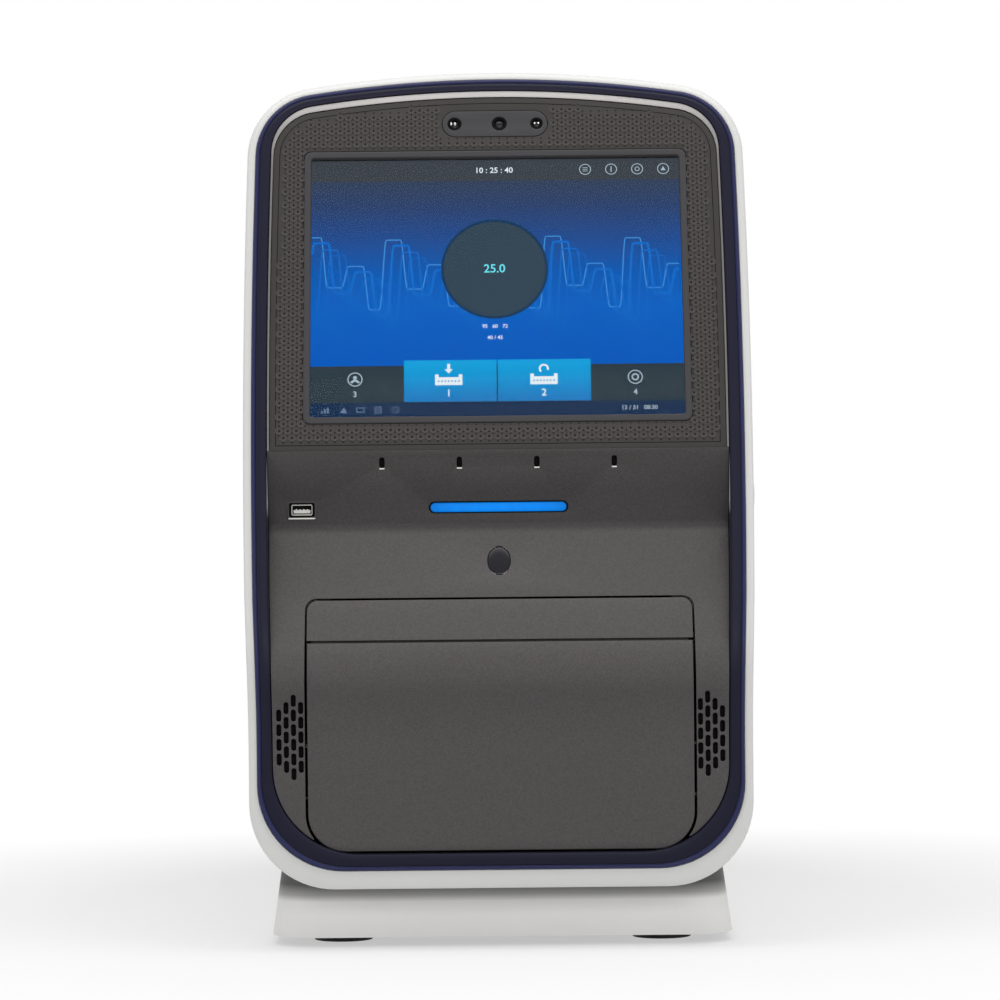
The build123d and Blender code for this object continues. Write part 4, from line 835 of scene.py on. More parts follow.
def mirror_coating():
    material, tree, shader = blank("mirror_coating")
    colour = tone(205, 212, 226)
    film = placed(tree, moulded, Colour=colour, Roughness=0.04, Grain=300.0, Drift=0.02)
    surfaced(tree, shader, film, Metallic=1.0)
    return material


mirror_face = mirror_coating()


def fading(tree, value, power, share):
    """Falls from one at the middle by a share at the edge."""
    bent = maths(tree, "POWER", maths(tree, "ABSOLUTE", value), power)
    return maths(tree, "SUBTRACT", 1.0, maths(tree, "MULTIPLY", bent, share))


def light_lens():
    """Blue status light, brighter along its middle line."""
    material, tree, shader = blank("light_lens")
    place = object_place(tree)
    parts = axes_of(tree, place)
    half_height, half_width = 3.9 * mm, 45 * mm
    rise = maths(tree, "DIVIDE", maths(tree, "SUBTRACT", parts["Z"], light_z), half_height)
    wide = maths(tree, "DIVIDE", parts["X"], half_width)
    bright, ends = fading(tree, rise, 2.0, 0.42), fading(tree, wide, 4.0, 0.3)
    cloud = spread(tree, noise(tree, place, 220.0), 0.92, 1.08)
    factor = maths(tree, "MULTIPLY", maths(tree, "MULTIPLY", bright, ends), cloud)
    colour = new_node(tree, "RGB")
    colour.outputs[0].default_value = tone(0, 140, 250)
    glow = shaded(tree, colour.outputs[0], factor)
    feed(tree, shader, Emission_Color=glow, Emission_Strength=0.95, Specular_IOR_Level=0.1)
    feed(tree, shader, Base_Color=tone(4, 16, 50), Roughness=0.3)
    return material


blue_light = light_lens()

# White front shell: crowned edge, seat for the ring and a wall behind it
edge_round = [((s * 1.5, s * 1.3, s * 2.6), d * 1.1) for s, d in rolled(3 * mm, 6)]
shell_wall = 3 * mm
stations = [((0, 0, 0), 60 * mm)]
stations += [(insets, 1.2 * mm + depth) for insets, depth in edge_round]
stations += stepped(white_band, ((-0.5, 1.2), (-0.15, 1.35), (0, 1.7), (0, 8)))
stations += stepped(dark_band, ((-2.5, 8), (-2.5, 11)))
stations += stepped((shell_wall,) * 3, ((0, 11), (0, 60)))
bm = bmesh.new()
band(bm, stations)
front_shell = stand_in("front_shell", bm, white_paint)

# Trim ring: outer stripe with a painted highlight, dark band and the skirt that lines the recess;
# the skirt's wall carries a painted glint at the waist
stripe_steps = [(0, 7.7), (0, 0), (0.25, -0.5), (0.7, -0.75), (1.5, -0.75), (1.9, -0.5)]
stripe_steps += [(2.1, -0.1), (2.4, 0), (2.7, -0.35), (3.2, -0.95), (3.9, -1.2)]
skirt_steps = [(-1.4, -1.2), (-0.5, -0.9), (-0.12, -0.3), (0, 0.5)]
skirt_steps += [(0, 26), (-2.2, 26), (-2.2, 7.7)]
bm = bmesh.new()
band(bm, stepped(more(white_band, fit), stripe_steps) + stepped(dark_band, skirt_steps))
trim_ring = stand_in("trim_ring", bm, [ring_plastic, stripe_highlight_plastic, recess_wall_glint])
# Row fourteen is the skirt's wall, which takes the painted glint
stripe_rows, glint_row = range(1, 7), 14
for face in trim_ring.data.polygons:
    row = face.index // len(head_outline())
    if row in stripe_rows:
        face.material_index = 1
    elif row == glint_row:
        face.material_index = 2

# Rim round the screen surround, down to the ridge; its grey has a painted highlight along the top
# and painted shade down the sides
side, top, bottom = bright_band
stations = stepped(more(dark_band, fit), ((0, 4), (0, 0.3), (0.2, 0.05)))
stations += [
    ((side - 0.45 * mm, top - 1.2 * mm, bottom - 0.1 * mm), 0.35 * mm),
    ((side - 0.1 * mm, top - 0.2 * mm, bottom), 0.75 * mm),
]
stations += stepped(bright_band, ((0, 1.1), (0, 4)))
bm = bmesh.new()
band(bm, stations)
cut(bm, (0, 0, ridge_z + fit), (0, 0, 1))
stand_in("bezel_rim", bm, rim_grey)

# Screen surround, its relief and the frame round the glass
surround_edge = more(bright_band, fit)
frame_width = 4.6 * mm
frame_box = (screen_width + 2 * frame_width, screen_height + 2 * frame_width)


def on_slope(points):
    """Front outline, in X and Z, as points across and up the leaning plane."""
    return [(x, (z - ridge_z) / math.cos(lean)) for x, z in points]


surround_line = [point for point in head_outline(*surround_edge) if point[1] > ridge_z + fit]
first_x, last_x = surround_line[0][0], surround_line[-1][0]
surround_line = [(first_x, ridge_z + fit), *surround_line, (last_x, ridge_z + fit)]
surround_line = on_slope(surround_line)
frame_hole = box_at(0, screen_rise, frame_box[0] + 2 * fit, frame_box[1] + 2 * fit, 5 * mm)
pill_hole = box_at(0, sensor_rise, 71.1 * mm, 19.2 * mm, 9.59 * mm, 12)
on_surround = leaning(1 * mm)
bm = bmesh.new()
panel(bm, surround_line, [frame_hole, pill_hole], on_surround, 3 * mm, 0.35 * mm)
stand_in("screen_surround", bm, surround_plastic)

# Relief of the surround: six-sided cells with a dark dot in each, dark dots of painted shadow
# where the cells meet, and a line round them
cell_pitch = 5.6 * mm


def repeat_tree(material):
    """Repeats a shape on points; its size drifts a little from one to the next."""
    tree = bpy.data.node_groups.new("repeat_on_points", "GeometryNodeTree")
    for label, side, kind, value in (
        ("Geometry", "INPUT", "Geometry", None),
        ("Shape", "INPUT", "Object", None),
        ("Smallest", "INPUT", "Float", 0.985),
        ("Largest", "INPUT", "Float", 1.015),
        ("Seed", "INPUT", "Int", 7),
        ("Geometry", "OUTPUT", "Geometry", None),
    ):
        new_socket(tree, label, side, kind, value)
    source, sink = tree.nodes.new("NodeGroupInput"), tree.nodes.new("NodeGroupOutput")
    shape = tree.nodes.new("GeometryNodeObjectInfo")
    size = tree.nodes.new("FunctionNodeRandomValue")
    spots = tree.nodes.new("GeometryNodeInstanceOnPoints")
    real = tree.nodes.new("GeometryNodeRealizeInstances")
    painted = tree.nodes.new("GeometryNodeSetMaterial")
    painted.inputs["Material"].default_value = material
    floats = [socket for socket in size.inputs if socket.type == "VALUE" and socket.enabled]
    scale = [socket for socket in size.outputs if socket.type == "VALUE" and socket.enabled][0]
    given = source.outputs
    put(tree, floats[0], given["Smallest"])
    put(tree, floats[1], given["Largest"])
    feed(tree, size, Seed=given["Seed"])
    feed(tree, shape, Object=given["Shape"])
    feed(tree, spots, Points=given["Geometry"], Instance=shape.outputs["Geometry"], Scale=scale)
    feed(tree, real, Geometry=spots.outputs["Instances"])
    feed(tree, painted, Geometry=real.outputs["Geometry"])
    feed(tree, sink, Geometry=painted.outputs["Geometry"])
    return tree


def repeated(name, points, sides, profile, material):
    """Turned shape repeated on flat points, then laid on the surround."""
    bm = bmesh.new()
    turned(bm, in_metres(profile), Vector(), rearward, -right, above, sides)
    shape = linked("shape", mesh_of(bm, "shape"))
    cloud = bpy.data.meshes.new(name)
    cloud.from_pydata([(x, v, 0) for x, v in points], [], [])
    holder = linked(name, cloud)
    modifier = holder.modifiers.new("repeat", "NODES")
    modifier.node_group = repeat_tree(material)
    for item in modifier.node_group.interface.items_tree:
        if item.in_out == "INPUT" and item.name == "Shape":
            modifier[item.identifier] = shape
    mesh = mesh_from(holder)
    bpy.data.objects.remove(holder)
    bpy.data.objects.remove(shape)
    for vertex in mesh.vertices:
        vertex.co = on_surround(vertex.co.x, vertex.co.y, -vertex.co.z)
    mesh.flip_normals()
    settle(name, mesh, material, "cabinet")


field_line = grown(surround_line, -6.3 * mm)
frame_keep, pill_keep = grown(frame_hole, 0.9 * mm), grown(pill_hole, 3.2 * mm)
cell_points = []
for row in range(-2, 60):
    for step in range(-30, 31):
        spot = ((step + (row % 2) / 2) * cell_pitch, row * cell_pitch * math.sqrt(3) / 2)
        kept_off = any(inside(spot, line) for line in (frame_keep, pill_keep))
        if inside(spot, field_line) and not kept_off:
            cell_points.append(spot)
# Dark dots where three cells meet: painted shadow in the small gaps between their corners
corner_step = cell_pitch / math.sqrt(3)
corner_shadow_dots = [(x, v + hand * corner_step) for x, v in cell_points for hand in (1, -1)]
corner_shadow_dots = [spot for spot in corner_shadow_dots if not inside(spot, frame_hole)]
corner_shadow_dots = sorted({(round(x, 6), round(v, 6)) for x, v in corner_shadow_dots})
cell = [(0, -0.4), (3.15, -0.4), (3.15, 0.1), (2.85, 0.32), (2.35, 0.32), (1.9, 0.05), (0, 0.05)]
dot = [(0, -0.3), (0.85, -0.3), (0.85, 0.1), (0, 0.1)]
corner_shadow_dot = [(0, -0.3), (0.6, -0.3), (0.6, 0.34), (0, 0.34)]
repeated("surround_relief", cell_points, 6, cell, relief_plastic)
repeated("surround_dots", cell_points, 8, dot, relief_dark)
repeated("surround_corner_dots", corner_shadow_dots, 6, corner_shadow_dot, relief_dark)
bm = bmesh.new()
line_out, line_in = grown(surround_line, -3.7 * mm), grown(surround_line, -4.2 * mm)
panel(bm, line_out, [line_in], leaning(0.95 * mm), 0.3 * mm, 0.05 * mm)
extra("surround_line", bm, matt_black)

bm = bmesh.new()
outer = box_at(0, screen_rise, *frame_box, 5 * mm)
inner = box_at(0, screen_rise, screen_width, screen_height, 2 * mm)
panel(bm, outer, [inner], leaning(0.4 * mm), 3.8 * mm, 0.9 * mm, steps=4)
stand_in("screen_frame", bm, frame_plastic)

# Graphite face, with the drawer's opening and the small openings over it
drawer_half, drawer_top, drawer_bottom = 124.2 * mm, 225 * mm, 64.4 * mm
gap = 1.3 * mm
hole_low, hole_high = drawer_bottom - gap, drawer_top + gap
drawer_hole = rounded_box(drawer_half + gap, hole_low, hole_high, 24.7 * mm, 7.2 * mm, 12)
drawer_way = rounded_box(108.2 * mm, 45.2 * mm, 83.6 * mm, 0, 0)
above_ridge = rounded_box(300 * mm, ridge_z, 700 * mm, 0, 0)
mic_xs = [50.5 * mm * step for step in (-1.5, -0.5, 0.5, 1.5)]
usb_x, usb_z = -128.3 * mm, 283.7 * mm
mic_holes = [box_at(x, mic_z, 3.5 * mm, 7 * mm, 1.7 * mm, 6) for x in mic_xs]
light_hole = box_at(0, light_z, 91 * mm, 7.8 * mm, 3.89 * mm, 12)
eye_hole = ellipse(0, eye_z, 15.2 * mm, 18.6 * mm)
usb_hole = box_at(usb_x, usb_z, 17.2 * mm, 9.6 * mm, 1.2 * mm, 6)
grille_holes = []
for hand in (1, -1):
    for column, amount in enumerate((4, 5, 6, 5)):
        x = hand * (128 + (3 - column) * 4.7) * mm
        for row in range(amount):
            z = (138.2 + (row - (amount - 1) / 2) * 9.4) * mm
            grille_holes.append(box_at(x, z, 3.2 * mm, 7.7 * mm, 1.55 * mm, 6))
face_outline = head_outline(*more(dark_band, fit))
large_holes = [above_ridge, drawer_hole, drawer_way, light_hole, eye_hole, usb_hole]
face_holes = large_holes + mic_holes + grille_holes
bm = bmesh.new()
panel(bm, face_outline, face_holes, on_face, 3 * mm, 0.4 * mm, face_rows)
stand_in("fascia", bm, graphite)

# Drawer front and the strip over its groove
groove_z, groove = 199 * mm, 2.2 * mm
bm = bmesh.new()
front_half, front_top = drawer_half - 0.3 * mm, groove_z - groove / 2
front_outline = rounded_box(front_half, drawer_bottom, front_top, 24 * mm, 0, 12)
panel(bm, front_outline, [], on_face, 3 * mm, 0.7 * mm, face_rows)
rib_low, rib_high, rib_x = 82 * mm, 162 * mm, 110.5 * mm
for hand in (1, -1):
    rib = rounded_box(1.5 * mm, rib_low, rib_high, 0, 0, middle=hand * rib_x)
    panel(bm, rib, [], facing(2.9 * mm), 28 * mm, 0.2 * mm)
stand_in("drawer_front", bm, graphite, "drawer")

# Strip over the groove, boxed back to the drawer's deck
finished("drawer_top_strip", graphite, 0.35 * mm)

# Light bar: lens in a dark bezel
light_y = face_y(light_z)
bm = bmesh.new()
lens_line = box_at(0, light_z, 88.6 * mm, 6.0 * mm, 2.99 * mm, 12)
panel(bm, lens_line, [], upright(light_y + 0.7 * mm), 4.5 * mm, 1.1 * mm, steps=5)
stand_in("light_bar", bm, blue_light)
bm = bmesh.new()
bezel_line = box_at(0, light_z, 90.6 * mm, 7.4 * mm, 3.69 * mm, 12)
panel(bm, bezel_line, [grown(lens_line, 0.1 * mm)], upright(light_y + 0.45 * mm), 3 * mm, 0.2 * mm)
extra("light_bezel", bm, matt_black)

# Oval window of the presence sensor, gently domed
bm = bmesh.new()
dome = [(1, 6), (1, 1.3), (0.985, 0.95), (0.95, 0.75), (0.88, 0.6)]
dome += [(0.75, 0.46), (0.55, 0.34), (0.3, 0.3), (0.02, 0.3)]
oval = ellipse(0, 0, 15 * mm, 18.4 * mm)
rings = []
for share, depth in dome:
    rings.append([on_face(x * share, eye_z + z * share, depth * mm) for x, z in oval])
loft(bm, rings)
stand_in("presence_sensor", bm, eye_black)

# Front USB port: shell with rolled mouth, tongue with contacts, dark plate and bezel
usb_y = light_y + 1.6 * mm


def block(bm, x, z, width, height, corner, front, length, lip, steps=8):
    """Rounded bar along Y; its middle and front are in metres, its sizes in millimetres."""
    outline = box_at(x, z, width * mm, height * mm, corner * mm, steps)
    panel(bm, outline, [], upright(front), length * mm, lip * mm)


bm = bmesh.new()
shell_line = box_at(usb_x, usb_z, 13.9 * mm, 7.2 * mm, 1.2 * mm)
panel(bm, shell_line, [grown(shell_line, -0.7 * mm)], upright(usb_y), 16 * mm, 0.3 * mm)
block(bm, usb_x, usb_z, 12.6, 5.9, 0.5, usb_y + 15 * mm, 1, 0.1)
stand_in("front_usb_port", bm, port_metal)
bm = bmesh.new()
block(bm, usb_x, usb_z - 1.1 * mm, 11, 2.2, 0.2, usb_y + 0.5 * mm, 14, 0.2)
extra("usb_tongue", bm, tongue_white)
bm = bmesh.new()
for step in (-1.5, -0.5, 0.5, 1.5):
    contact_x = usb_x + step * 2.4 * mm
    block(bm, contact_x, usb_z + 0.2 * mm, 1.1, 0.4, 0.05, usb_y + 0.7 * mm, 8, 0.05, 2)
extra("usb_contacts", bm, bright_metal)
bm = bmesh.new()
block(bm, usb_x, usb_z, 12.4, 5.7, 0.4, usb_y + 3 * mm, 2, 0.1)
extra("usb_inside", bm, matt_black)

# Painted highlights: bright strips under the USB opening and the four slots, for the light their
# lower edges catch
bm = bmesh.new()
block(bm, usb_x, usb_z - 5.6 * mm, 17.6, 0.9, 0.4, light_y - 0.75 * mm, 0.9, 0.25, 4)
for x in mic_xs:
    lip_highlight_line = box_at(x, mic_z - 3.9 * mm, 3.6 * mm, 0.9 * mm, 0.44 * mm, 4)
    panel(bm, lip_highlight_line, [], facing(-0.15 * mm), 0.6 * mm, 0.15 * mm)
extra("bright_lips", bm, tongue_white)
bm = bmesh.new()
plate_line = box_at(usb_x, usb_z, 17.8 * mm, 10.2 * mm, 0.8 * mm)
plate_hole = grown(shell_line, 0.05 * mm)
panel(bm, plate_line, [plate_hole], upright(usb_y + 0.6 * mm), 0.8 * mm, 0.1 * mm)
extra("usb_plate", bm, matt_black)
bm = bmesh.new()
bezel_out, bezel_in = grown(usb_hole, 1.1 * mm), grown(usb_hole, -0.25 * mm)
panel(bm, bezel_out, [bezel_in], upright(light_y - 0.3 * mm), 2 * mm, 0.3 * mm)
extra("usb_bezel", bm, frame_plastic)

# Sensor window: a smooth pill with three lenses under small domes
bm = bmesh.new()
pill_line = box_at(0, sensor_rise, 70.5 * mm, 18.6 * mm, 9.29 * mm, 14)
bores = ((-27 * mm, 9 * mm), (3 * mm, 9.6 * mm), (28 * mm, 8 * mm))
bore_lines = [ellipse(x, sensor_rise, bore + 0.4 * mm, bore + 0.4 * mm, 40) for x, bore in bores]
panel(bm, pill_line, bore_lines, leaning(0.7 * mm), 3 * mm, 0.4 * mm)
stand_in("sensor_window", bm, frame_plastic)
slope_up = Vector((0, math.sin(lean), math.cos(lean)))
slope_out = Vector((0, -math.cos(lean), math.sin(lean)))
bm = bmesh.new()
for x, bore in bores:
    centre = on_lean(x, sensor_rise, 1 * mm)
    half, barrel_end = bore / 2, -8.5 * mm
    profile = [(0, barrel_end), (half, barrel_end), (half, -0.2 * mm), (half - 0.3 * mm, 0.0)]
    profile += [(half - 0.8 * mm, -0.1 * mm), (half * 0.62, -1.6 * mm), (half * 0.5, -3 * mm)]
    turned(bm, profile + [(0, -3 * mm)], centre, right, slope_up, slope_out)
stand_in("sensor_cameras", bm, matt_black)
bm = bmesh.new()
for x, bore in bores:
    centre = on_lean(x, sensor_rise, 1.9 * mm)
    half = bore * 0.36
    angles = [math.radians(degrees) for degrees in range(0, 91, 10)]
    dome = [(half * math.sin(angle), half * 0.45 * (math.cos(angle) - 1)) for angle in angles]
    turned(bm, dome + [(0, dome[-1][1])], centre, right, slope_up, slope_out, 32)
extra("sensor_lenses", bm, eye_black)
# Pale spots in the outer lenses: an LED pair under the left lens, painted glints in the right one
bm = bmesh.new()
for x, spots in ((-27 * mm, (-2.2, 0.3)), (28 * mm, (-1.3, 1.2))):
    for shift in spots:
        tall = 2.2 * mm if x < 0 else 1.3 * mm
        spot = ellipse(x + shift * mm, sensor_rise + 0.1 * mm, 1.2 * mm, tall, 16)
        panel(bm, spot, [], leaning(0.75 * mm), 1.2 * mm, 0.15 * mm)
extra("sensor_windows_small", bm, bright_metal)

# Glass and the picture behind it
glass_width, glass_height, glass_depth, picture_depth = 251.8 * mm, 190.3 * mm, 4.2 * mm, 6.1 * mm
bm = bmesh.new()
glass_line = box_at(0, screen_rise, glass_width, glass_height, 1 * mm)
panel(bm, glass_line, [], leaning(glass_depth), 0.9 * mm, 0.15 * mm)
stand_in("touch_glass", bm, screen_glass)


# Picture behind the glass; its sizes are in millimetres from its lower left corner
def on_image(u, v, depth):
    low = screen_rise - screen_height / 2
    return on_lean(u - screen_width / 2, low + v, picture_depth - depth)


def height_on_screen(share):
    return on_image(0, share * screen_height, 0).z


screen_stops = [
    (0.0, tone(0, 84, 182)),
    (0.25, tone(0, 88, 188)),
    (0.42, tone(1, 94, 192)),
    (0.56, tone(6, 88, 176)),
    (0.7, tone(32, 74, 140)),
    (0.82, tone(44, 66, 108)),
    (0.93, tone(52, 65, 86)),
]
key_stops = [(0.0, tone(18, 120, 190)), (0.5, tone(2, 146, 208)), (1.0, tone(16, 162, 222))]
blends = {
    "blue": (height_on_screen(0), height_on_screen(1), screen_stops),
    "cyan": (height_on_screen(0.075), height_on_screen(0.225), key_stops),
}
picture_inks = []
for name, shade in (
    ("blue", None),
    ("slate", (60, 66, 73)),
    ("panel", (43, 58, 67)),
    ("navy", (18, 44, 78)),
    ("dial", (50, 69, 83)),
    ("edge", (24, 58, 92)),
    ("cyan", None),
    ("line", (60, 140, 214)),
    ("haze", (14, 106, 200)),
    ("white", (226, 236, 242)),
    ("grey", (168, 186, 198)),
    ("dim", (96, 122, 150)),
    ("mint", (110, 222, 240)),
):
    colour = tone(*shade) if shade else None
    picture_inks.append(lit("picture_" + name, colour, blends.get(name)))
blue, slate, plate, navy, dial, edge_ink, cyan = range(7)
line_ink, haze, white_ink, grey_ink, dim, mint = range(7, 13)
layer_step = 0.06  # millimetres from one layer of the picture to the next


def on_layer(x, v, layer):
    return on_image(x * mm, v * mm, layer * layer_step * mm)


def shape_on(layer, ink, outline, holes=()):
    """Flat shape of the picture, in one ink."""
    loops = [outline, *holes]
    flat, triangles = triangles_in([in_metres(loop) for loop in loops], 1e-8)
    corners = [bm.verts.new(on_image(*point, layer * layer_step * mm)) for point in flat]
    for triangle in triangles:
        bm.faces.new([corners[i] for i in triangle]).material_index = ink


def field(layer, ink, left, low, right, high):
    shape_on(layer, ink, [(left, low), (right, low), (right, high), (left, high)])


def stroke(layer, ink, points, thick):
    """Line of even width through points."""
    sides = []
    for i, point in enumerate(points):
        before, after = points[max(0, i - 1)], points[min(len(points) - 1, i + 1)]
        along = Vector((after[0] - before[0], after[1] - before[1])).normalized()
        x, v = -along.y * thick / 2, along.x * thick / 2
        pair = ((point[0] + x, point[1] + v), (point[0] - x, point[1] - v))
        sides.append([bm.verts.new(on_layer(*spot, layer)) for spot in pair])
    for (a, b), (c, d) in zip(sides, sides[1:]):
        bm.faces.new((a, b, d, c)).material_index = ink


def ring_mark(layer, ink, x, v, radius, thick):
    stroke(layer, ink, arc((x, v), radius, 0, 360, 36), thick)


def digits(layer, ink, text, x, v, height):
    """Plain numbers as flat meshes on the picture."""
    curve = bpy.data.curves.new("digits", "FONT")
    curve.body = text
    curve.size = height * mm * 1.4
    curve.align_x = curve.align_y = "CENTER"
    curve.offset = height * mm * 0.02
    curve.resolution_u = 3
    source = linked("digits", curve)
    shape = mesh_from(source)
    bpy.data.objects.remove(source)
    spots = [(x * mm + vertex.co.x, v * mm + vertex.co.y) for vertex in shape.vertices]
    corners = [bm.verts.new(on_image(*spot, layer * layer_step * mm)) for spot in spots]
    for polygon in shape.polygons:
        bm.faces.new([corners[i] for i in polygon.vertices]).material_index = ink
    bpy.data.meshes.remove(shape)
    bpy.data.curves.remove(curve)


bm = bmesh.new()
wide, tall = screen_width / mm, screen_height / mm
panel_low, panel_high = 11.6, 37.4
field(0, blue, 0, 0, wide, tall)
field(1, slate, 0, 169.2, wide, tall)
field(1, plate, 0, panel_low, wide, panel_high)
field(1, navy, 0, 0, wide, panel_low)
button_low, button_high = panel_low + 0.3, 41
field(2, cyan, 61.6, button_low, 122.5, button_high)
field(2, cyan, 123.3, button_low, 184.4, button_high)

# Background: three stepped temperature lines, as a thermal cycle is drawn
echoes = ((0, 0, line_ink, 0.8), (5, -4, haze, 1.6), (11, -9, haze, 0.9), (16, -13, haze, 0.6))
for echo, (shift, drop, ink, thick) in enumerate(echoes):
    points = []
    levels = (78, 128, 92, 108)
    x = -14 + shift
    for step in range(22):
        level = levels[step % 4] + drop + 1.2 * math.sin(step)
        run = 9.5 if step % 4 else 6.5
        points += [(x, level), (x + run, level)]
        x += run + 4.5
    soft = []
    for a, b in zip(points, points[1:]):
        for step in range(8):
            share = step / 8
            ease = share * share * (3 - 2 * share)
            soft.append((a[0] + (b[0] - a[0]) * share, a[1] + (b[1] - a[1]) * ease))
    stroke(1 + echo * 0.5, ink, [point for point in soft if 0.5 < point[0] < wide - 0.5], thick)

# Round start key with a plain number, and two rows of numbers under it
dial_x, dial_v = 121.8, 105.4
shape_on(4, edge_ink, ellipse(dial_x, dial_v, 71, 71, 72))
shape_on(5, dial, ellipse(dial_x, dial_v, 67.4, 67.4, 72))
digits(6, mint, "25.0", dial_x, dial_v, 6)
digits(3, white_ink, "95   60   72", dial_x, 64.6, 2.6)
digits(3, white_ink, "40 / 45", dial_x, 56.6, 2.6)
digits(3, white_ink, "10 : 25 : 40", 122, 176.4, 4)


# Small marks of the top bar
def wedge(layer, ink, x, v, half, height):
    shape_on(layer, ink, [(x - half, v), (x + half, v), (x, v + height)])


list_x, bar_x, target_x, wedge_x = 183, 200.4, 217.8, 235.2
for x in (list_x, bar_x, target_x, wedge_x):
    ring_mark(3, grey_ink, x, 176.6, 3.7, 0.55)
for v in (175.2, 176.4, 177.6):
    field(3, grey_ink, list_x - 1.7, v, list_x + 1.7, v + 0.4)
field(3, grey_ink, bar_x - 0.35, 174.6, bar_x + 0.35, 178.6)
ring_mark(3, grey_ink, target_x, 176.6, 1.4, 0.5)
wedge(3, grey_ink, wedge_x, 175.4, 1.7, 3)

# Keys: a plate with an arrow down, a plate with a turning arrow, and two ring marks
key_xs = (91, 153.6)
tray = [(-9, 31), (-9, 23.4), (9, 23.4), (9, 31), (6.6, 31), (6.6, 29), (-6.6, 29), (-6.6, 31)]
for x in key_xs:
    shape_on(4, white_ink, [(x + a, b) for a, b in tray])
    for step in range(-3, 4):
        shape_on(5, cyan, ellipse(x + step * 2.2, 26.2, 1.1, 1.1, 12))
arrow = [(-1, 38.4), (-1, 34.6), (-2.8, 34.6), (0, 31.6), (2.8, 34.6), (1, 34.6), (1, 38.4)]
shape_on(4, white_ink, [(key_xs[0] + a, b) for a, b in arrow])
stroke(4, white_ink, arc((key_xs[1], 34.4), 2.7, -20, 230, 24), 1.3)
for text, x in zip("12", key_xs):
    digits(4, white_ink, text, x, 17.6, 5)
round_xs = (29.4, 213.6)
for text, x in zip("34", round_xs):
    digits(3, grey_ink, text, x, 17.4, 4)
    ring_mark(3, grey_ink, x, 28, 4.6, 0.7)
shape_on(3, grey_ink, ellipse(round_xs[0], 29.2, 2.6, 2.6, 20))
stroke(3, grey_ink, arc((round_xs[0], 24.6), 2.6, 20, 160, 12), 1.5)
ring_mark(3, grey_ink, round_xs[1], 28, 2.0, 1.0)

# Status row: five small marks and the hour
for step in range(3):
    field(3, dim, 7.15 + step * 1.9, 4.4, 8.48 + step * 1.9, 6 + step * 1.3)
wedge(3, dim, 22, 4.6, 2.4, 4)
for x, width, height in ((33, 5.4, 3.6), (44.6, 4.6, 4.6)):
    outer = box_at(x, 6.6, width, height, 0.5, 3)
    shape_on(3, dim, outer, [grown(outer, -0.6)])
field(3, dim, 43, 6.4, 46.2, 6.9)
ring_mark(3, dim, 56, 6.6, 2.1, 0.6)
digits(3, grey_ink, "12 / 31   08:30", 216, 6.6, 2.9)
picture_mesh = mesh_of(bm, "screen_picture", turn=False)
settle("screen_picture", picture_mesh, picture_inks, "cabinet")

# Covers behind the front shell, from one dense skin
bm = bmesh.new()
start_depth = 60.4 * mm
skin_depth, skin_steps = start_depth + 0.5 * mm, 6
stations = [
    ((shell_wall,) * 3, start_depth),
    ((0.5 * mm,) * 3, start_depth),
    ((0.15 * mm,) * 3, start_depth + 0.15 * mm),
    ((0, 0, 0), skin_depth),
]


def part_way(step):
    """Place of a ring that lies some steps from the front towards the rear."""
    share = step / skin_steps
    return lambda z: front_y(z, skin_depth) * (1 - share) + (rear_edge - 3 * mm) * share


stations += [((0, 0, 0), part_way(step)) for step in range(1, skin_steps)]
for inset, depth in rolled(2.6 * mm, 5):
    stations.append(((inset,) * 3, lambda z, depth=depth: rear_edge - depth))
stations.append(((shell_wall,) * 3, lambda z: rear_edge - 0.3 * mm))
stations.append(((shell_wall,) * 3, lambda z: rear_edge - 12 * mm))
band(bm, stations)
skin = mesh_of(bm, "cover_skin")
split_z, seam = 505 * mm, 0.4 * mm
side_top, side_edge = ((0, 0, split_z - seam), (0, 0, -1)), 118 * mm
for node, cuts in (
    ("top_cover", [((0, 0, split_z), (0, 0, 1))]),
    ("side_cover_right", [side_top, ((side_edge, 0, 0), (1, 0, 0))]),
    ("side_cover_left", [side_top, ((-side_edge, 0, 0), (-1, 0, 0))]),
):
    bm = bmesh.new()
    bm.from_mesh(skin)
    for point, normal in cuts:
        cut(bm, point, normal)
    stand_in(node, bm, white_paint)

# Hole for the standby button, cut into the shell
bm = bmesh.new()
button_y, button_z = -246 * mm, 291 * mm
hole_radius, hole_start, hole_end = 8.3 * mm, 150 * mm, 175 * mm
hole_line = [(0, hole_start), (hole_radius, hole_start), (hole_radius, hole_end), (0, hole_end)]
turned(bm, hole_line, Vector((0, button_y, button_z)), rearward, above, right, 48)
drill = linked("drill", mesh_of(bm, "drill"))
modifier = front_shell.modifiers.new("hole", "BOOLEAN")
modifier.operation, modifier.object, modifier.solver = "DIFFERENCE", drill, "EXACT"
holed = mesh_from(front_shell)
front_shell.modifiers.remove(modifier)
front_shell.data = holed
holed.set_sharp_from_angle(angle=sharp_from)
bpy.data.objects.remove(drill)

# Sample block: plate with 96 conical wells
block_width, block_length, block_height = 118 * mm, 80 * mm, 22 * mm
block_y, block_top, well_pitch, well_width = -130 * mm, 182 * mm, 9 * mm, 6.4 * mm
columns = [(step - 5.5) * well_pitch for step in range(12)]
wells = [(x, (row - 3.5) * well_pitch) for x in columns for row in range(8)]
well_lines = [ellipse(x, y, well_width, well_width, 20) for x, y in wells]
bm = bmesh.new()
block_line = box_at(0, 0, block_width, block_length, 2 * mm, 5)


def on_block(u, v, depth):
    return Vector((u, block_y + v, block_top - depth))


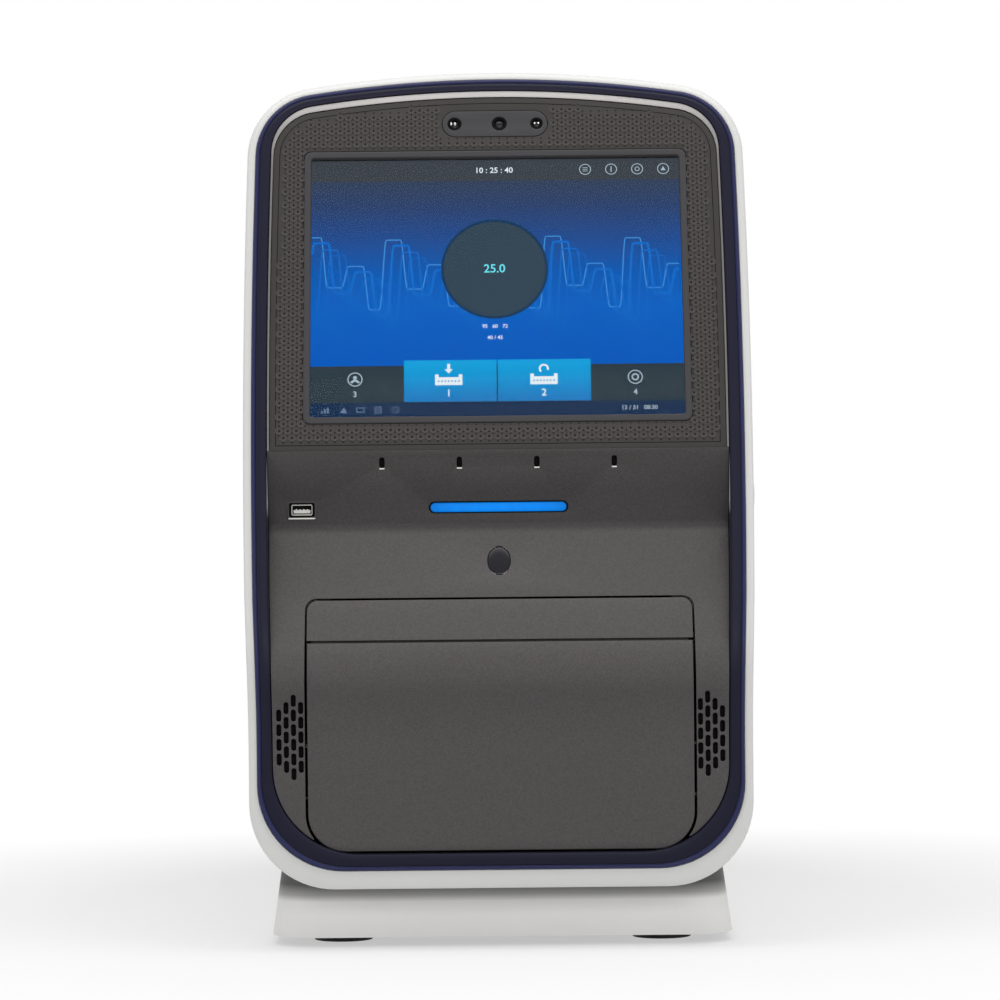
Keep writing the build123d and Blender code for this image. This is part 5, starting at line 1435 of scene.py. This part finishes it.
panel(bm, block_line, well_lines, on_block, block_height, 0.3 * mm)
cup = [(0, -16), (3.3, -16), (3.3, -0.6), (3.1, -0.5), (1.5, -14), (0.9, -15), (0, -15.2)]
for x, y in wells:
    centre = Vector((x, block_y + y, block_top))
    turned(bm, in_metres(cup), centre, right, rearward, above, 20)
stand_in("sample_block", bm, bare_aluminium, "drawer")

# Other pieces keep the CAD shape with broken edges
for node, material, width in (
    ("base_plinth", plinth_plastic, 0.5),
    ("rubber_feet", rubber, 0.3),
    ("standby_button", white_paint, 0),
    ("standby_switch", module_black, 0.1),
    ("microphones", matt_black, 0.2),
    ("speakers", matt_black, 0.3),
    ("light_board", board_green, 0.1),
    ("display_panel", module_black, 0.3),
    ("rear_panel", panel_paint, 0.25),
    ("panel_screws", sheet_steel, 0.4),
    ("rear_fan_frames", module_black, 0.3),
    ("rear_fan_left", dark_plastic, 0.2),
    ("rear_fan_right", dark_plastic, 0.2),
    ("power_entry", dark_plastic, 0.3),
    ("power_rocker", rocker_black, 0.2),
    ("rear_ports", port_metal, 0.1),
    ("chassis_base", sheet_steel, 0.3),
    ("chassis_frames", sheet_steel, 0.3),
    ("optics_deck", bare_aluminium, 0.3),
    ("power_supply", sheet_steel, 0.3),
    ("main_board", board_green, 0.15),
    ("slide_outer_rails", sheet_steel, 0.2),
    ("slide_inner_rails", sheet_steel, 0.2),
    ("drawer_carriage", sheet_steel, 0.2),
    ("drawer_deck", deck_plastic, 0.3),
    ("peltier_modules", ceramic_white, 0.1),
    ("heat_sink", bare_aluminium, 0.2),
    ("drawer_screw", sheet_steel, 0.3),
    ("drawer_motor", module_black, 0.3),
    ("heated_cover", anodised, 0.4),
    ("heated_platen", bare_aluminium, 0),
    ("cover_rods", sheet_steel, 0.3),
    ("cover_actuators", anodised, 0.3),
    ("field_lens", lens_glass, 0),
    ("optics_column", anodised, 0.4),
    ("optics_mirrors", mirror_face, 0.1),
    ("optics_bulkhead", anodised, 0.3),
    ("excitation_wheel", anodised, 0.2),
    ("emission_wheel", anodised, 0.2),
    ("filter_motors", module_black, 0.3),
    ("led_source", bare_aluminium, 0.2),
    ("optics_camera", anodised, 0.3),
):
    finished(node, material, width * mm)

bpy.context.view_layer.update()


# Floor, light and camera
def seen_share(tree):
    """One for rays from the camera, mirrors and glass, nought for the rest."""
    rays = new_node(tree, "LightPath").outputs
    straight = maths(tree, "MAXIMUM", rays["Is Camera Ray"], rays["Is Glossy Ray"])
    return maths(tree, "MAXIMUM", straight, rays["Is Transmission Ray"])


def stage_paint():
    """Pale floor that the camera sees nearly white, with the shadow kept."""
    material, tree, shader = blank("stage_paint")
    feed(tree, shader, Base_Color=(0.9, 0.9, 0.9, 1), Roughness=0.9, Specular_IOR_Level=0.0)
    glow = new_node(tree, "Emission", Color=(1, 1, 1, 1))
    reach = new_node(tree, "VectorMath")
    reach.operation = "LENGTH"
    put(tree, reach.inputs[0], object_place(tree))
    clear = spread(tree, reach.outputs["Value"], 0.5, 1.0, 0.3, 0.7)
    mix = new_node(tree, "MixShader")
    parts = (maths(tree, "MULTIPLY", seen_share(tree), clear), shader.outputs[0], glow.outputs[0])
    for place, part in enumerate(parts):
        put(tree, mix.inputs[place], part)
    feed(tree, tree.nodes["Material Output"], Surface=mix.outputs[0])
    return material


bm = bmesh.new()
floor_z, floor_corners = -0.2 * mm, ((-12, -8), (12, -8), (12, 16), (-12, 16))
bm.faces.new([bm.verts.new((x, y, floor_z)) for x, y in floor_corners])
floor = linked("floor", mesh_of(bm, "floor", turn=False))
floor.data.materials.append(stage_paint())

world = bpy.data.worlds.new("plain_room")
bpy.context.scene.world = world
world.use_nodes = True
room = world.node_tree
room_light = 0.28
strength = maths(room, "MULTIPLY_ADD", seen_share(room), 1 - room_light, room_light)
feed(room, room.nodes["Background"], Color=(1, 1, 1, 1), Strength=strength)


def soft_lamp(name, place, target, width, height, power):
    lamp = bpy.data.lights.new(name, "AREA")
    lamp.shape = "RECTANGLE"
    lamp.size, lamp.size_y, lamp.energy = width, height, power
    holder = linked(name, lamp)
    holder.location = place
    holder.rotation_euler = (Vector(target) - Vector(place)).to_track_quat("-Z", "Y").to_euler()


soft_lamp("top_softbox", (0, -0.5, 2.4), (0, -0.2, 0.3), 2.4, 1.6, 36)
soft_lamp("front_fill", (0.3, -3.6, 1.6), (0, 0, 0.3), 2.2, 1.2, 25)
soft_lamp("left_fill", (-2.6, -1.2, 1.0), (0, 0, 0.3), 1.4, 1.4, 10)
soft_lamp("right_fill", (2.6, -1.0, 1.0), (0, 0, 0.3), 1.4, 1.4, 10)

lens = bpy.data.cameras.new("camera")
lens.sensor_width = 36
lens.lens = 147.1
lens.clip_start, lens.clip_end = 0.1, 60
camera = linked("camera", lens)
camera.location = (0.001, -2.936, 0.289)
camera.rotation_euler = (math.radians(90), math.radians(0.57), 0)
bpy.context.scene.camera = camera
bpy.context.scene.view_settings.view_transform = "Standard"
